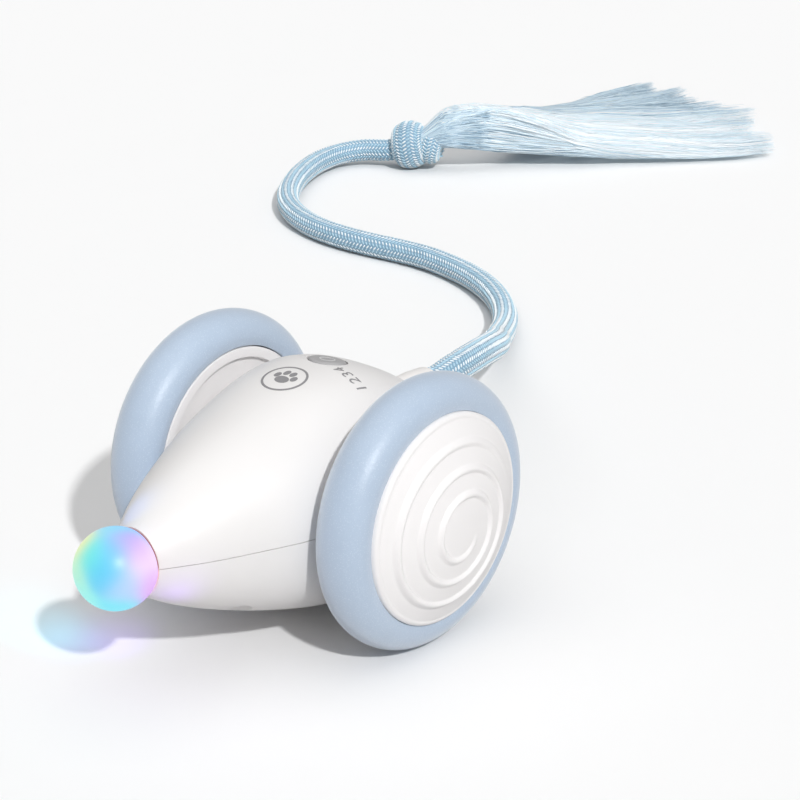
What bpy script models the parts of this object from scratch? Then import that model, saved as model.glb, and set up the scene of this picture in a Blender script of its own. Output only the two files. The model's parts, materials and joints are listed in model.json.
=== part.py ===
"""Robotic mouse cat toy: a teardrop body between two large wheels, with a light-up nose and a cord tail.

The toy faces -Y and stands on the floor at Z = 0. Its left wheel is on +X and its right wheel on -X.
X = 0 is the plane of symmetry, and the origin lies on the floor under the middle of the toy's box,
measured from the nose to the end of the tail sleeve. All sizes are metres.
"""

import math

import bmesh
import bpy
from mathutils import Matrix, Vector

# Fits and small values that all pieces share
SEAT_GAP = 0.0003
HOLE_GAP = 0.00035
CUT_OVERRUN = 0.004
MERGE_DISTANCE = 0.00001

# Wheels: distances along the axle are measured from the toy's middle plane
TYRE_RADIUS = 0.035
TYRE_EDGE_RADIUS = 0.02873
TYRE_BORE_RADIUS = 0.0269
TYRE_MIDDLE = 0.03416
TYRE_HALF_WIDTH = 0.00714
TYRE_WALL_STEP = 0.0003
RIM_LIP_RADIUS = 0.0239
RIM_LIP_DEPTH = 0.0012
RIM_DISH_RADIUS = 0.022
RIM_DISH_DEPTH = 0.0035
RIM_WEB = 0.0015
RIM_BARREL_WALL = 0.002
RIM_BOSS_RADIUS = 0.005
RIM_BOSS_PROUD = 0.0013
RIM_BOSS_LENGTH = 0.008
CAP_EDGE = 0.0417
CAP_DOME_HEIGHT = 0.0069
CAP_DOME_POWER_SHARE = 2.2
CAP_WALL = 0.0017
CAP_EDGE_DEPTH = 0.0018
CAP_SKIRT_LENGTH = 0.0034
CAP_SKIRT_WALL = 0.0013

# Spiral ridge on each hub cap
RIDGE_START_RADIUS = 0.0054
RIDGE_START_TURN = math.radians(71)
RIDGE_PITCH = 0.00604
RIDGE_TURNS = 2.91
RIDGE_WIDTH = 0.0021
RIDGE_HEIGHT = 0.0005
RIDGE_SINK = 0.0004
RIDGE_OFF_CENTRE = (0.00136, -0.00135)
RIDGE_POINTS_PER_TURN = 16

# Axle and its fastening
AXLE_RADIUS = 0.0015
AXLE_INNER_END = 0.0124
AXLE_OUTER_END = 0.0372
AXLE_SCREW_HOLE_RADIUS = 0.00125
AXLE_SCREW_HOLE_DEPTH = 0.006
AXLE_SCREW_RADIUS = 0.0009
AXLE_SCREW_HEAD_RADIUS = 0.0026
AXLE_SCREW_HEAD_HEIGHT = 0.0014
BUSH_RADIUS = 0.003

# Gears: one module for the whole train
GEAR_MODULE = 0.0006
PINION_TEETH = 8
IDLER_LARGE_TEETH = 22
IDLER_SMALL_TEETH = 9
DRIVE_TEETH = 21
TOOTH_TIP_SHARE = 0.8
TOOTH_ROOT_SHARE = 1.15
TOOTH_TIP_WIDTH_SHARE = 0.2
TOOTH_ROOT_WIDTH_SHARE = 0.62
PINION_BORE_RADIUS = 0.0009
IDLER_BEARING = math.radians(-46)
MOTOR_BEARING = math.radians(-113)
GEAR_FACE = 0.0016
GEAR_LAYER_GAP = 0.0003

# Gearbox housing, from the motor's face outwards
CASE_INNER_FACE = 0.0133
CASE_WALL = 0.001
CASE_GEAR_CLEARANCE = 0.0006
CASE_MOTOR_RADIUS = 0.0052
COVER_THICKNESS = 0.0009
IDLER_PIN_RADIUS = 0.0008

# Motors
MOTOR_RADIUS = 0.006
MOTOR_HALF_HEIGHT = 0.005
MOTOR_LENGTH = 0.0104
MOTOR_CAP_LENGTH = 0.0017
MOTOR_CAP_RADIUS = 0.0057
MOTOR_SHAFT_RADIUS = 0.0005
MOTOR_SHAFT_HOLE_RADIUS = 0.0014

# Shell: reaches are measured along Y from the axle, heights from the seam
SHELL_FRONT_REACH = 0.0644
SHELL_REAR_REACH = 0.041
SHELL_HALF_WIDTH = 0.0259
SHELL_CREST = 0.0303
SHELL_BELLY = 0.0312
SHELL_WALL = 0.002
SHELL_FRONT_TRIM = 0.0017
SHELL_SIDES = 32
SHELL_FRONT_RINGS = 8
SHELL_REAR_RINGS = 6

# Shares of the reach ahead, half width, crest height and belly depth at each front station
FRONT_SHARES = (
    (0.00, 1.000, 1.000, 1.000),
    (0.19, 1.000, 0.973, 0.949),
    (0.435, 0.958, 0.828, 0.803),
    (0.652, 0.749, 0.672, 0.645),
    (0.842, 0.526, 0.483, 0.469),
    (1.00, 0.284, 0.266, 0.271),
    (1.10, 0.130, 0.130, 0.130),
)
# How full the crest and the belly sections are, from round at the nose to squarer at the axle
FULLNESS_SHARES = ((0.0, 2.5, 2.55), (0.19, 2.3, 2.5), (0.435, 2.0, 2.35), (0.7, 1.95, 2.25), (1.1, 2.0, 2.1))
# Rear half: power of the reach and of the fall for the plan, the crest and the belly
REAR_PLAN_SHARES = (2.2, 0.4545)
REAR_CREST_SHARES = (1.5, 0.6)
REAR_BELLY_SHARES = (2.0, 0.5)

# Screws that hold the two shells together
SHELL_SCREW_FRONT_SHARE = 0.621
SHELL_SCREW_FRONT_SPREAD = 0.0105
SHELL_SCREW_REAR_SHARE = 0.634
SHELL_SCREW_REAR_SPREAD = 0.0125
SHELL_SCREW_RADIUS = 0.0013
SHELL_SCREW_HEAD_RADIUS = 0.0025
SHELL_SCREW_HEAD_HEIGHT = 0.0016
SHELL_SCREW_LENGTH = 0.016
SHELL_SCREW_SEAT_DROP = 0.0087
SHELL_POST_RADIUS = 0.0032
SHELL_SCREW_END_ROOM = 0.0008

# Nose light
NOSE_RADIUS = 0.01015
NOSE_AHEAD = 0.00567
NOSE_RISE = 0.0004
NOSE_WALL = 0.0013
NOSE_FLANGE_RADIUS = 0.0084
NOSE_FLANGE_THICKNESS = 0.0010
NOSE_NECK_RADIUS = 0.0056
NOSE_NECK_DEPTH = 0.0052
RETAINER_RADIUS = 0.0066
RETAINER_THICKNESS = 0.0014
RETAINER_DEPTH = 0.0038
LIGHT_BOARD_RADIUS = 0.0066
LIGHT_BOARD_THICKNESS = 0.001
LED_SIZE = 0.005
LED_HEIGHT = 0.0016

# Battery and its tray
BATTERY_LENGTH_SHARE = 0.357
BATTERY_REAR_REACH = 0.0055
BATTERY_WIDTH = 0.0234
BATTERY_HEIGHT = 0.008
BATTERY_DROP = 0.0135
BATTERY_EDGE = 0.0012
TRAY_WALL = 0.0009
TRAY_FLOOR = 0.001
TRAY_DEPTH = 0.0055
TRAY_POST_RADIUS = 0.002
TRAY_POST_SPREAD = 0.008
TRAY_POST_INSET = 0.0035

# Main board with its chips, switch and screws
BOARD_WIDTH = 0.026
BOARD_LENGTH = 0.028
BOARD_THICKNESS = 0.0016
BOARD_RISE = 0.015
BOARD_BEHIND = 0.002
BOARD_SCREW_REACHES = (0.009, -0.013)
BOARD_POST_RADIUS = 0.0025
BOARD_HOLE_RADIUS = 0.00125
BOARD_SCREW_RADIUS = 0.0009
BOARD_SCREW_HEAD_RADIUS = 0.0019
BOARD_SCREW_HEAD_HEIGHT = 0.0012
BOARD_SCREW_LENGTH = 0.0065
CONTROL_CHIP_SIZE = 0.007
DRIVER_CHIP_SIZE = 0.005
SENSOR_CHIP_SIZE = 0.003
CHIP_HEIGHT = 0.0009
CHIP_SPREAD = 0.0082
CHIP_REACH = 0.005
SENSOR_BEHIND = 0.0105
SWITCH_SIZE = 0.006
SWITCH_HEIGHT = 0.0035
SWITCH_STEM_RADIUS = 0.0017
SWITCH_STEM_HEIGHT = 0.0008

# Power button in the crest
BUTTON_RADIUS = 0.0048
BUTTON_BEHIND = 0.005
BUTTON_TOP_RISE = 0.02985
BUTTON_CROWN = 0.0004
BUTTON_EDGE = 0.0004
BUTTON_FLANGE_RADIUS = 0.0058
BUTTON_FLANGE_RISE = 0.025
BUTTON_BOSS_RADIUS = 0.0066
BUTTON_FLANGE_THICKNESS = 0.001
BUTTON_PIN_RADIUS = 0.0015
BUTTON_TRAVEL = 0.0005
BUTTON_SWITCH_ROOM = 0.0001

# Charging socket and its board at the rear
SOCKET_WIDTH = 0.00894
SOCKET_HEIGHT = 0.0032
SOCKET_LENGTH = 0.0074
SOCKET_WALL = 0.0004
SOCKET_DEPTH = 0.005
SOCKET_TONGUE_WIDTH = 0.0066
SOCKET_TONGUE_HEIGHT = 0.0007
SOCKET_TONGUE_LENGTH = 0.0045
SOCKET_DROP = 0.0105
SOCKET_FACE_INSET = 0.003
CHARGE_BOARD_WIDTH = 0.014
CHARGE_BOARD_LENGTH = 0.014
CHARGE_BOARD_THICKNESS = 0.0012
CHARGE_BOARD_INSET = 0.0088
CHARGE_POST_SPREAD = 0.004
CHARGE_POST_INSET = 0.0025

# Tail sleeve, cord, knot and tassel
SLEEVE_RADIUS = 0.0055
SLEEVE_END_RADIUS = 0.0051
SLEEVE_RISE = 0.0103
SLEEVE_INNER_DEPTH = 0.014
SLEEVE_PROUD = 0.004
SLEEVE_EDGE = 0.0008
SLEEVE_TAPER_LENGTH = 0.006
SLEEVE_SOCKET_RADIUS = 0.0078
SLEEVE_SOCKET_DEPTH = 0.0155
CORD_RADIUS = 0.0043
CORD_POINT_SPACING = 0.0075
KNOT_RADIUS = 0.0094
KNOT_END_RADIUS = 0.0062
KNOT_HALF_LENGTH = 0.0098
KNOT_SIDES = 16
KNOT_ARC_STEPS = 4

# The cord's route, chosen by hand: across the toy, back from the sleeve's end and up from the floor
CORD_ROUTE = (
    (0.0000, 0.0006, 0.0453), (0.0000, 0.0038, 0.0453), (-0.0014, 0.0115, 0.0453),
    (-0.0045, 0.0220, 0.0441), (-0.0083, 0.0322, 0.0422), (-0.0130, 0.0420, 0.0395),
    (-0.0182, 0.0513, 0.0363), (-0.0240, 0.0601, 0.0329), (-0.0301, 0.0687, 0.0292),
    (-0.0364, 0.0771, 0.0255), (-0.0427, 0.0854, 0.0217), (-0.0490, 0.0938, 0.0179),
    (-0.0551, 0.1023, 0.0143), (-0.0611, 0.1111, 0.0110), (-0.0671, 0.1201, 0.0081),
    (-0.0730, 0.1292, 0.0059), (-0.0794, 0.1382, 0.0046), (-0.0868, 0.1465, 0.0043),
    (-0.0953, 0.1537, 0.0043), (-0.1047, 0.1595, 0.0044), (-0.1149, 0.1641, 0.0044),
    (-0.1255, 0.1673, 0.0043), (-0.1365, 0.1690, 0.0044), (-0.1476, 0.1691, 0.0043),
    (-0.1587, 0.1680, 0.0043), (-0.1698, 0.1673, 0.0044), (-0.1809, 0.1680, 0.0044),
    (-0.1917, 0.1706, 0.0043), (-0.2019, 0.1749, 0.0044), (-0.2111, 0.1811, 0.0044),
    (-0.2190, 0.1889, 0.0043), (-0.2257, 0.1978, 0.0043), (-0.2313, 0.2075, 0.0044),
    (-0.2357, 0.2177, 0.0045), (-0.2386, 0.2287, 0.0048), (-0.2381, 0.2397, 0.0053),
    (-0.2327, 0.2482, 0.0061), (-0.2231, 0.2533, 0.0068),
)

# Tassel: a fan that leaves the knot and turns a little before it spreads on the floor
TASSEL_LENGTH = 0.13
TASSEL_HALF_WIDTH = 0.054
TASSEL_HEIGHT = 0.0225
TASSEL_LOCK_DEPTH = 0.014
TASSEL_BEARING = math.radians(71)
TASSEL_BEND_PER_LENGTH = 5
TASSEL_LOCKS = 5
# Shares of the length, half width, underside height and top height along the tassel
TASSEL_SHARES = (
    (0.00, 0.11, 0.17, 0.68), (0.07, 0.12, 0.26, 0.92), (0.15, 0.15, 0.24, 1.00), (0.27, 0.26, 0.12, 0.90),
    (0.42, 0.44, 0.01, 0.64), (0.61, 0.66, 0.01, 0.38), (0.82, 0.88, 0.01, 0.22), (1.00, 1.00, 0.01, 0.12),
)

# Sides of round pieces
TYRE_STEPS = 36
TYRE_ARC_STEPS = 9
RIM_STEPS = 28
CAP_ARC_STEPS = 5
NOSE_STEPS = 24
NOSE_ARC_STEPS = 8
SMALL_STEPS = 16
SCREW_STEPS = 12
HOUSING_ARC_POINTS = 20

# Places that follow from the sizes above
SHELL_SCREW_FRONT_REACH = SHELL_FRONT_REACH * SHELL_SCREW_FRONT_SHARE
SHELL_SCREW_REAR_REACH = SHELL_REAR_REACH * SHELL_SCREW_REAR_SHARE
NOSE_REACH = SHELL_FRONT_REACH + NOSE_AHEAD
NOSE_NECK_END_REACH = SHELL_FRONT_REACH - NOSE_NECK_DEPTH
RETAINER_REACH = SHELL_FRONT_REACH - RETAINER_DEPTH
BATTERY_LENGTH = SHELL_FRONT_REACH * BATTERY_LENGTH_SHARE
BATTERY_AHEAD = BATTERY_REAR_REACH + BATTERY_LENGTH / 2
TRAY_POST_REACHES = (BATTERY_REAR_REACH + TRAY_POST_INSET, BATTERY_REAR_REACH + BATTERY_LENGTH - TRAY_POST_INSET)
SOCKET_FACE_REACH = SHELL_REAR_REACH - SOCKET_FACE_INSET
CHARGE_BOARD_REAR_REACH = SHELL_REAR_REACH - CHARGE_BOARD_INSET
SLEEVE_END_REACH = SHELL_REAR_REACH + SLEEVE_PROUD
SLEEVE_INNER_REACH = SHELL_REAR_REACH - SLEEVE_INNER_DEPTH
SLEEVE_SOCKET_REACH = SHELL_REAR_REACH - SLEEVE_SOCKET_DEPTH
AXLE_HEIGHT = TYRE_RADIUS
AXLE_Y = (NOSE_REACH + NOSE_RADIUS - SLEEVE_END_REACH) / 2
AXLE = Vector((0, AXLE_Y, AXLE_HEIGHT))
SEAM_HEIGHT = AXLE_HEIGHT
RUNNING_RADIUS = AXLE_RADIUS + SEAT_GAP
CAP_RADIUS = TYRE_BORE_RADIUS - SEAT_GAP
RIM_RADIUS = TYRE_BORE_RADIUS - SEAT_GAP
RIM_INNER_END = TYRE_MIDDLE - TYRE_HALF_WIDTH + TYRE_WALL_STEP
RIM_OUTER_END = CAP_EDGE - CAP_EDGE_DEPTH - SEAT_GAP
RIM_DISH = RIM_INNER_END + RIM_DISH_DEPTH
RIM_BOSS_START = RIM_DISH - RIM_BOSS_PROUD
RIM_BOSS_END = RIM_BOSS_START + RIM_BOSS_LENGTH
LARGE_LAYER = CASE_INNER_FACE + CASE_WALL + GEAR_LAYER_GAP
SMALL_LAYER = LARGE_LAYER + GEAR_FACE + GEAR_LAYER_GAP
CASE_OUTER_FACE = SMALL_LAYER + GEAR_FACE
COVER_START = CASE_OUTER_FACE + SEAT_GAP
COVER_END = COVER_START + COVER_THICKNESS
BUSH_START = COVER_START
BUSH_END = RIM_BOSS_START - SEAT_GAP
BUSH_HOLE_RADIUS = BUSH_RADIUS + SEAT_GAP
IDLER_DISTANCE = GEAR_MODULE * (DRIVE_TEETH + IDLER_SMALL_TEETH) / 2
MOTOR_DISTANCE = GEAR_MODULE * (IDLER_LARGE_TEETH + PINION_TEETH) / 2
IDLER_OFFSET = Vector((math.cos(IDLER_BEARING), math.sin(IDLER_BEARING))) * IDLER_DISTANCE
MOTOR_OFFSET = IDLER_OFFSET + Vector((math.cos(MOTOR_BEARING), math.sin(MOTOR_BEARING))) * MOTOR_DISTANCE
IDLER_BORE_RADIUS = IDLER_PIN_RADIUS + SEAT_GAP
SLEEVE_AXIS = Vector((0, AXLE_Y, SEAM_HEIGHT + SLEEVE_RISE))
SLEEVE_END_Y = AXLE_Y + SLEEVE_END_REACH
CORD_POINTS = [Vector((across, SLEEVE_END_Y + back, up)) for across, back, up in CORD_ROUTE]
NOSE_CENTRE = Vector((0, AXLE_Y - NOSE_REACH, AXLE_HEIGHT + NOSE_RISE))
SHELL_FRONT_FACE = AXLE_Y - SHELL_FRONT_REACH + SHELL_FRONT_TRIM
HALF_SEAM = SEAT_GAP / 2

SIDES = (("left", 1), ("right", -1))


def start_clean():
    """Empty the scene and give back the collections for the toy's pieces and for its cutters."""
    for thing in list(bpy.data.objects):
        bpy.data.objects.remove(thing, do_unlink=True)
    made = []
    for name in ("robotic_mouse_cat_toy", "cutters"):
        collection = bpy.data.collections.new(name)
        bpy.context.scene.collection.children.link(collection)
        made.append(collection)
    return made


PIECES, CUTTERS = start_clean()


def linear(value):
    """Turn one sRGB channel from 0 to 1 into its linear value."""
    return value / 12.92 if value <= 0.04045 else ((value + 0.055) / 1.055) ** 2.4


def finish_material(name, hex_colour, roughness, metallic=0.0, alpha=1.0):
    """Make one Principled material from a hex colour."""
    material = bpy.data.materials.new(name)
    material.use_nodes = True
    shader = material.node_tree.nodes["Principled BSDF"]
    rgb = [linear(int(hex_colour[start:start + 2], 16) / 255) for start in (0, 2, 4)]
    shader.inputs["Base Color"].default_value = (*rgb, 1.0)
    shader.inputs["Roughness"].default_value = roughness
    shader.inputs["Metallic"].default_value = metallic
    shader.inputs["Alpha"].default_value = alpha
    material.diffuse_color = (*rgb, alpha)
    return material


FINISHES = {
    "shell_white": ("EFEDEC", 0.38, 0.0),
    "hub_white": ("EEECEB", 0.40, 0.0),
    "tyre_blue": ("BFD1E3", 0.55, 0.0),
    "nose_glow": ("9FE8FF", 0.20, 0.0),
    "button_grey": ("A9A8A8", 0.60, 0.0),
    "sleeve_white": ("EAE6E3", 0.45, 0.0),
    "cord_blue": ("9DBDD3", 0.85, 0.0),
    "tassel_blue": ("BFD9EA", 0.70, 0.0),
    "frame_grey": ("8C9096", 0.55, 0.0),
    "gear_cream": ("E8E2D2", 0.45, 0.0),
    "steel": ("B9BCC0", 0.30, 1.0),
    "brass": ("C9A85A", 0.35, 1.0),
    "board_green": ("2F6B4A", 0.55, 0.0),
    "chip_black": ("26272A", 0.50, 0.0),
    "battery_silver": ("A7ABB0", 0.45, 0.6),
    "led_white": ("F4F4EE", 0.35, 0.0),
}


def new_piece(name, mesh, finish, location=(0, 0, 0), rotation=(0, 0, 0), parent=None):
    """Put a mesh in the toy's collection as a named piece with a material of its own."""
    piece = bpy.data.objects.new(name, mesh)
    PIECES.objects.link(piece)
    piece.location = location
    piece.rotation_euler = rotation
    if parent is not None:
        piece.parent = parent
        piece.matrix_parent_inverse = Matrix.Translation(-parent.location)
    mesh.materials.append(finish_material(name + "_finish", *FINISHES[finish]))
    return piece


def new_guide(name, mesh):
    """Put a mesh in the cutters' collection, where the build leaves it out."""
    guide = bpy.data.objects.new(name, mesh)
    CUTTERS.objects.link(guide)
    guide.hide_render = True
    guide.display_type = "WIRE"
    return guide


def joint_axis(name, place):
    """Make an empty on a joint's axis, for the pieces that move with it."""
    empty = bpy.data.objects.new(name, None)
    PIECES.objects.link(empty)
    empty.location = place
    empty.empty_display_size = AXLE_RADIUS
    return empty


def combine(piece, other, operation):
    """Cut, join or intersect a piece with another object."""
    change = piece.modifiers.new(operation.lower() + "_" + other.name, "BOOLEAN")
    change.operation = operation
    change.object = other
    change.solver = "EXACT"


def mesh_from(bm, name):
    """Turn a bmesh into a mesh whose faces point out."""
    bmesh.ops.recalc_face_normals(bm, faces=bm.faces)
    if bm.calc_volume(signed=True) < 0:
        bmesh.ops.reverse_faces(bm, faces=bm.faces)
    mesh = bpy.data.meshes.new(name)
    bm.to_mesh(mesh)
    bm.free()
    return mesh


def add_rod(bm, start, end, radius, sides=SMALL_STEPS):
    """Add a closed cylinder between two points."""
    start, end = Vector(start), Vector(end)
    span = end - start
    turn = span.to_track_quat("Z", "Y").to_matrix().to_4x4()
    place = Matrix.Translation((start + end) / 2) @ turn
    bmesh.ops.create_cone(bm, cap_ends=True, segments=sides, radius1=radius, radius2=radius,
                          depth=span.length, matrix=place)


def add_box(bm, low, high):
    """Add a closed box between its lowest and highest corners."""
    low, high = Vector(low), Vector(high)
    size = high - low
    place = Matrix.Translation((low + high) / 2) @ Matrix.Diagonal((*size, 1))
    bmesh.ops.create_cube(bm, size=1, matrix=place)


def rods_mesh(name, rods, sides=SMALL_STEPS):
    """Make one mesh of several separate cylinders, each given as start, end and radius."""
    bm = bmesh.new()
    for start, end, radius in rods:
        add_rod(bm, start, end, radius, sides)
    return mesh_from(bm, name)


def boxes_mesh(name, boxes):
    """Make one mesh of several separate boxes, each given as its low and high corners."""
    bm = bmesh.new()
    for low, high in boxes:
        add_box(bm, low, high)
    return mesh_from(bm, name)


def turned(name, profile, steps, finish, closed=False, phase=0.0, guide=False, **place):
    """Turn a profile of radius and height round local Z with a Screw modifier."""
    mesh = bpy.data.meshes.new(name)
    points = [(radius * math.cos(phase), radius * math.sin(phase), height) for radius, height in profile]
    edges = [(index, index + 1) for index in range(len(points) - 1)]
    if closed:
        edges.append((len(points) - 1, 0))
    mesh.from_pydata(points, edges, [])
    piece = new_guide(name, mesh) if guide else new_piece(name, mesh, finish, **place)
    screw = piece.modifiers.new("turn", "SCREW")
    screw.axis = "Z"
    screw.steps = steps
    screw.render_steps = steps
    screw.use_merge_vertices = True
    screw.merge_threshold = MERGE_DISTANCE
    screw.use_smooth_shade = True
    return piece


def outline_mesh(name, outlines, start, end, side):
    """Extrude closed outlines, holes among them, along X from start to end on one side.

    The outlines are drawn in Y and Z about their own axis, as a filled 2D curve.
    """
    curve = bpy.data.curves.new(name + "_outline", "CURVE")
    curve.dimensions = "2D"
    curve.fill_mode = "BOTH"
    curve.extrude = (end - start) / 2
    for outline in outlines:
        spline = curve.splines.new("POLY")
        spline.points.add(len(outline) - 1)
        for point, (across, up) in zip(spline.points, outline):
            point.co = (across, up, 0, 1)
        spline.use_cyclic_u = True
    holder = bpy.data.objects.new(name + "_outline", curve)
    CUTTERS.objects.link(holder)
    flat = bpy.data.meshes.new_from_object(holder.evaluated_get(bpy.context.evaluated_depsgraph_get()))
    bpy.data.objects.remove(holder, do_unlink=True)
    bpy.data.curves.remove(curve)
    bm = bmesh.new()
    bm.from_mesh(flat)
    bpy.data.meshes.remove(flat)
    bmesh.ops.remove_doubles(bm, verts=bm.verts, dist=MERGE_DISTANCE)
    middle = side * (start + end) / 2
    for vert in bm.verts:
        across, up, along = vert.co
        vert.co = (middle + along, across, up)
    return mesh_from(bm, name)


def circle(radius, points, centre=(0, 0)):
    """List the points of a circle."""
    turns = [2 * math.pi * index / points for index in range(points)]
    return [(centre[0] + radius * math.cos(turn), centre[1] + radius * math.sin(turn)) for turn in turns]


def hull(points):
    """Go round the outermost of some points, counter-clockwise."""
    points = sorted(set(points))
    rows = []
    for ordered in (points, points[::-1]):
        row = []
        for point in ordered:
            while len(row) > 1:
                (ax, ay), (bx, by) = row[-2], row[-1]
                if (bx - ax) * (point[1] - ay) - (by - ay) * (point[0] - ax) > 0:
                    break
                row.pop()
            row.append(point)
        rows.append(row[:-1])
    return rows[0] + rows[1]


def gear_outline(teeth, first_tooth):
    """Outline of a spur gear with straight-sided teeth; first_tooth is the angle of one tooth's middle."""
    pitch_radius = GEAR_MODULE * teeth / 2
    tip = pitch_radius + GEAR_MODULE * TOOTH_TIP_SHARE
    root = pitch_radius - GEAR_MODULE * TOOTH_ROOT_SHARE
    half_pitch = math.pi / teeth
    points = []
    for index in range(teeth):
        middle = first_tooth + 2 * half_pitch * index
        corners = ((root, -TOOTH_ROOT_WIDTH_SHARE), (tip, -TOOTH_TIP_WIDTH_SHARE),
                   (tip, TOOTH_TIP_WIDTH_SHARE), (root, TOOTH_ROOT_WIDTH_SHARE))
        for radius, share in corners:
            angle = middle + half_pitch * share
            points.append((radius * math.cos(angle), radius * math.sin(angle)))
    return points


def smooth_value(stations, share):
    """Read a smooth curve through pairs of share and value."""
    slopes = []
    last = len(stations) - 1
    for index in range(len(stations)):
        before, after = stations[max(index - 1, 0)], stations[min(index + 1, last)]
        slopes.append((after[1] - before[1]) / (after[0] - before[0]))
    index = 0
    while index < last - 1 and share > stations[index + 1][0]:
        index += 1
    (low, low_value), (high, high_value) = stations[index], stations[index + 1]
    width = high - low
    part = (share - low) / width
    square, cube = part ** 2, part ** 3
    return (low_value * (2 * cube - 3 * square + 1) + high_value * (3 * square - 2 * cube)
            + width * slopes[index] * (cube - 2 * square + part)
            + width * slopes[index + 1] * (cube - square))


def front_share(table, share, column):
    """Read one column of a front table, which is level where it meets the rear half."""
    stations = [(row[0], row[column]) for row in table]
    stations.insert(0, (-stations[1][0], stations[1][1]))
    return smooth_value(stations, share)


def shell_section(reach):
    """Half width, crest, belly and both fullness powers of the shell, reach being measured back from the axle."""
    if reach <= 0:
        share = -reach / SHELL_FRONT_REACH
        width, crest, belly = (front_share(FRONT_SHARES, share, column) for column in (1, 2, 3))
        over, under = (front_share(FULLNESS_SHARES, share, column) for column in (1, 2))
    else:
        share = min(reach / SHELL_REAR_REACH, 1.0)
        width, crest, belly = (max(1 - share ** power, 0.0) ** fall
                               for power, fall in (REAR_PLAN_SHARES, REAR_CREST_SHARES, REAR_BELLY_SHARES))
        over, under = FULLNESS_SHARES[0][1:]
    return width * SHELL_HALF_WIDTH, crest * SHELL_CREST, belly * SHELL_BELLY, over, under


def shell_mesh(name, inset, capped):
    """Loft the teardrop through its sections, drawn in by inset; capped closes the nose end."""
    reaches = [-(SHELL_FRONT_REACH) * (SHELL_FRONT_RINGS - index) / SHELL_FRONT_RINGS
               for index in range(SHELL_FRONT_RINGS)]
    rear_reach = SHELL_REAR_REACH - inset
    quarter = math.pi / 2
    reaches += [rear_reach * math.sin(quarter * index / SHELL_REAR_RINGS) for index in range(SHELL_REAR_RINGS)]
    bm = bmesh.new()
    rings = []
    for reach in reaches:
        width, crest, belly, over, under = shell_section(reach * SHELL_REAR_REACH / rear_reach if reach > 0 else reach)
        ring = []
        for index in range(SHELL_SIDES):
            turn = 2 * math.pi * (index + 0.5) / SHELL_SIDES
            across, up = math.cos(turn), math.sin(turn)
            height, power = (crest, over) if up > 0 else (belly, under)
            x = (width - inset) * math.copysign(abs(across) ** (2 / power), across)
            z = (height - inset) * math.copysign(abs(up) ** (2 / power), up)
            ring.append(bm.verts.new((x, AXLE_Y + reach, SEAM_HEIGHT + z)))
        rings.append(ring)
    for ring, following in zip(rings, rings[1:]):
        for index in range(SHELL_SIDES):
            after = (index + 1) % SHELL_SIDES
            bm.faces.new((ring[index], ring[after], following[after], following[index]))
    pole = bm.verts.new((0, AXLE_Y + rear_reach, SEAM_HEIGHT))
    for index in range(SHELL_SIDES):
        bm.faces.new((rings[-1][index], rings[-1][(index + 1) % SHELL_SIDES], pole))
    if capped:
        bm.faces.new(rings[0])
    return mesh_from(bm, name)


def on_axle(reach, rise, across=0.0):
    """A point given by its distance behind the axle, above it and to the left of the middle."""
    return Vector((across, AXLE_Y + reach, AXLE_HEIGHT + rise))


def screw_places():
    """Names and places of the four shell screws, at the seam."""
    for end, reach, spread in (("front", -SHELL_SCREW_FRONT_REACH, SHELL_SCREW_FRONT_SPREAD),
                               ("rear", SHELL_SCREW_REAR_REACH, SHELL_SCREW_REAR_SPREAD)):
        for side_name, side in SIDES:
            yield "shell_screw_" + end + "_" + side_name, on_axle(reach, 0, side * spread)


def shell_half(name, above, posts, cutters):
    """Make one half of the shell: a walled teardrop, trimmed at the seam and the nose, with posts and holes."""
    half = new_piece(name, shell_mesh(name, 0, False), "shell_white")
    wall = half.modifiers.new("wall", "SOLIDIFY")
    wall.thickness = SHELL_WALL
    wall.offset = -1
    wall.use_even_offset = True
    reach = SHELL_CREST + SHELL_BELLY
    seam_side = SEAM_HEIGHT + HALF_SEAM if above else SEAM_HEIGHT - HALF_SEAM
    far_side = SEAM_HEIGHT + reach if above else SEAM_HEIGHT - reach
    low = (-SHELL_FRONT_REACH, SHELL_FRONT_FACE, min(seam_side, far_side))
    high = (SHELL_FRONT_REACH, SHELL_FRONT_FACE + 2 * SHELL_FRONT_REACH, max(seam_side, far_side))
    combine(half, new_guide(name + "_block", boxes_mesh(name + "_block", [(low, high)])), "INTERSECT")
    post_guide = new_guide(name + "_posts", posts)
    combine(post_guide, INNER_FORM, "INTERSECT")
    combine(half, post_guide, "UNION")
    for cutter in cutters:
        combine(half, cutter, "DIFFERENCE")
    return half


INNER_FORM = new_guide("inner_form", shell_mesh("inner_form", SHELL_WALL / 2, True))


def bush_holes():
    """Cutter for the two holes that the axle bushes pass through, half in each shell."""
    rods = [(on_axle(0, 0, side * COVER_END), on_axle(0, 0, side * (SHELL_HALF_WIDTH + CUT_OVERRUN)),
             BUSH_HOLE_RADIUS) for name, side in SIDES]
    return new_guide("bush_holes", rods_mesh("bush_holes", rods))


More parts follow.
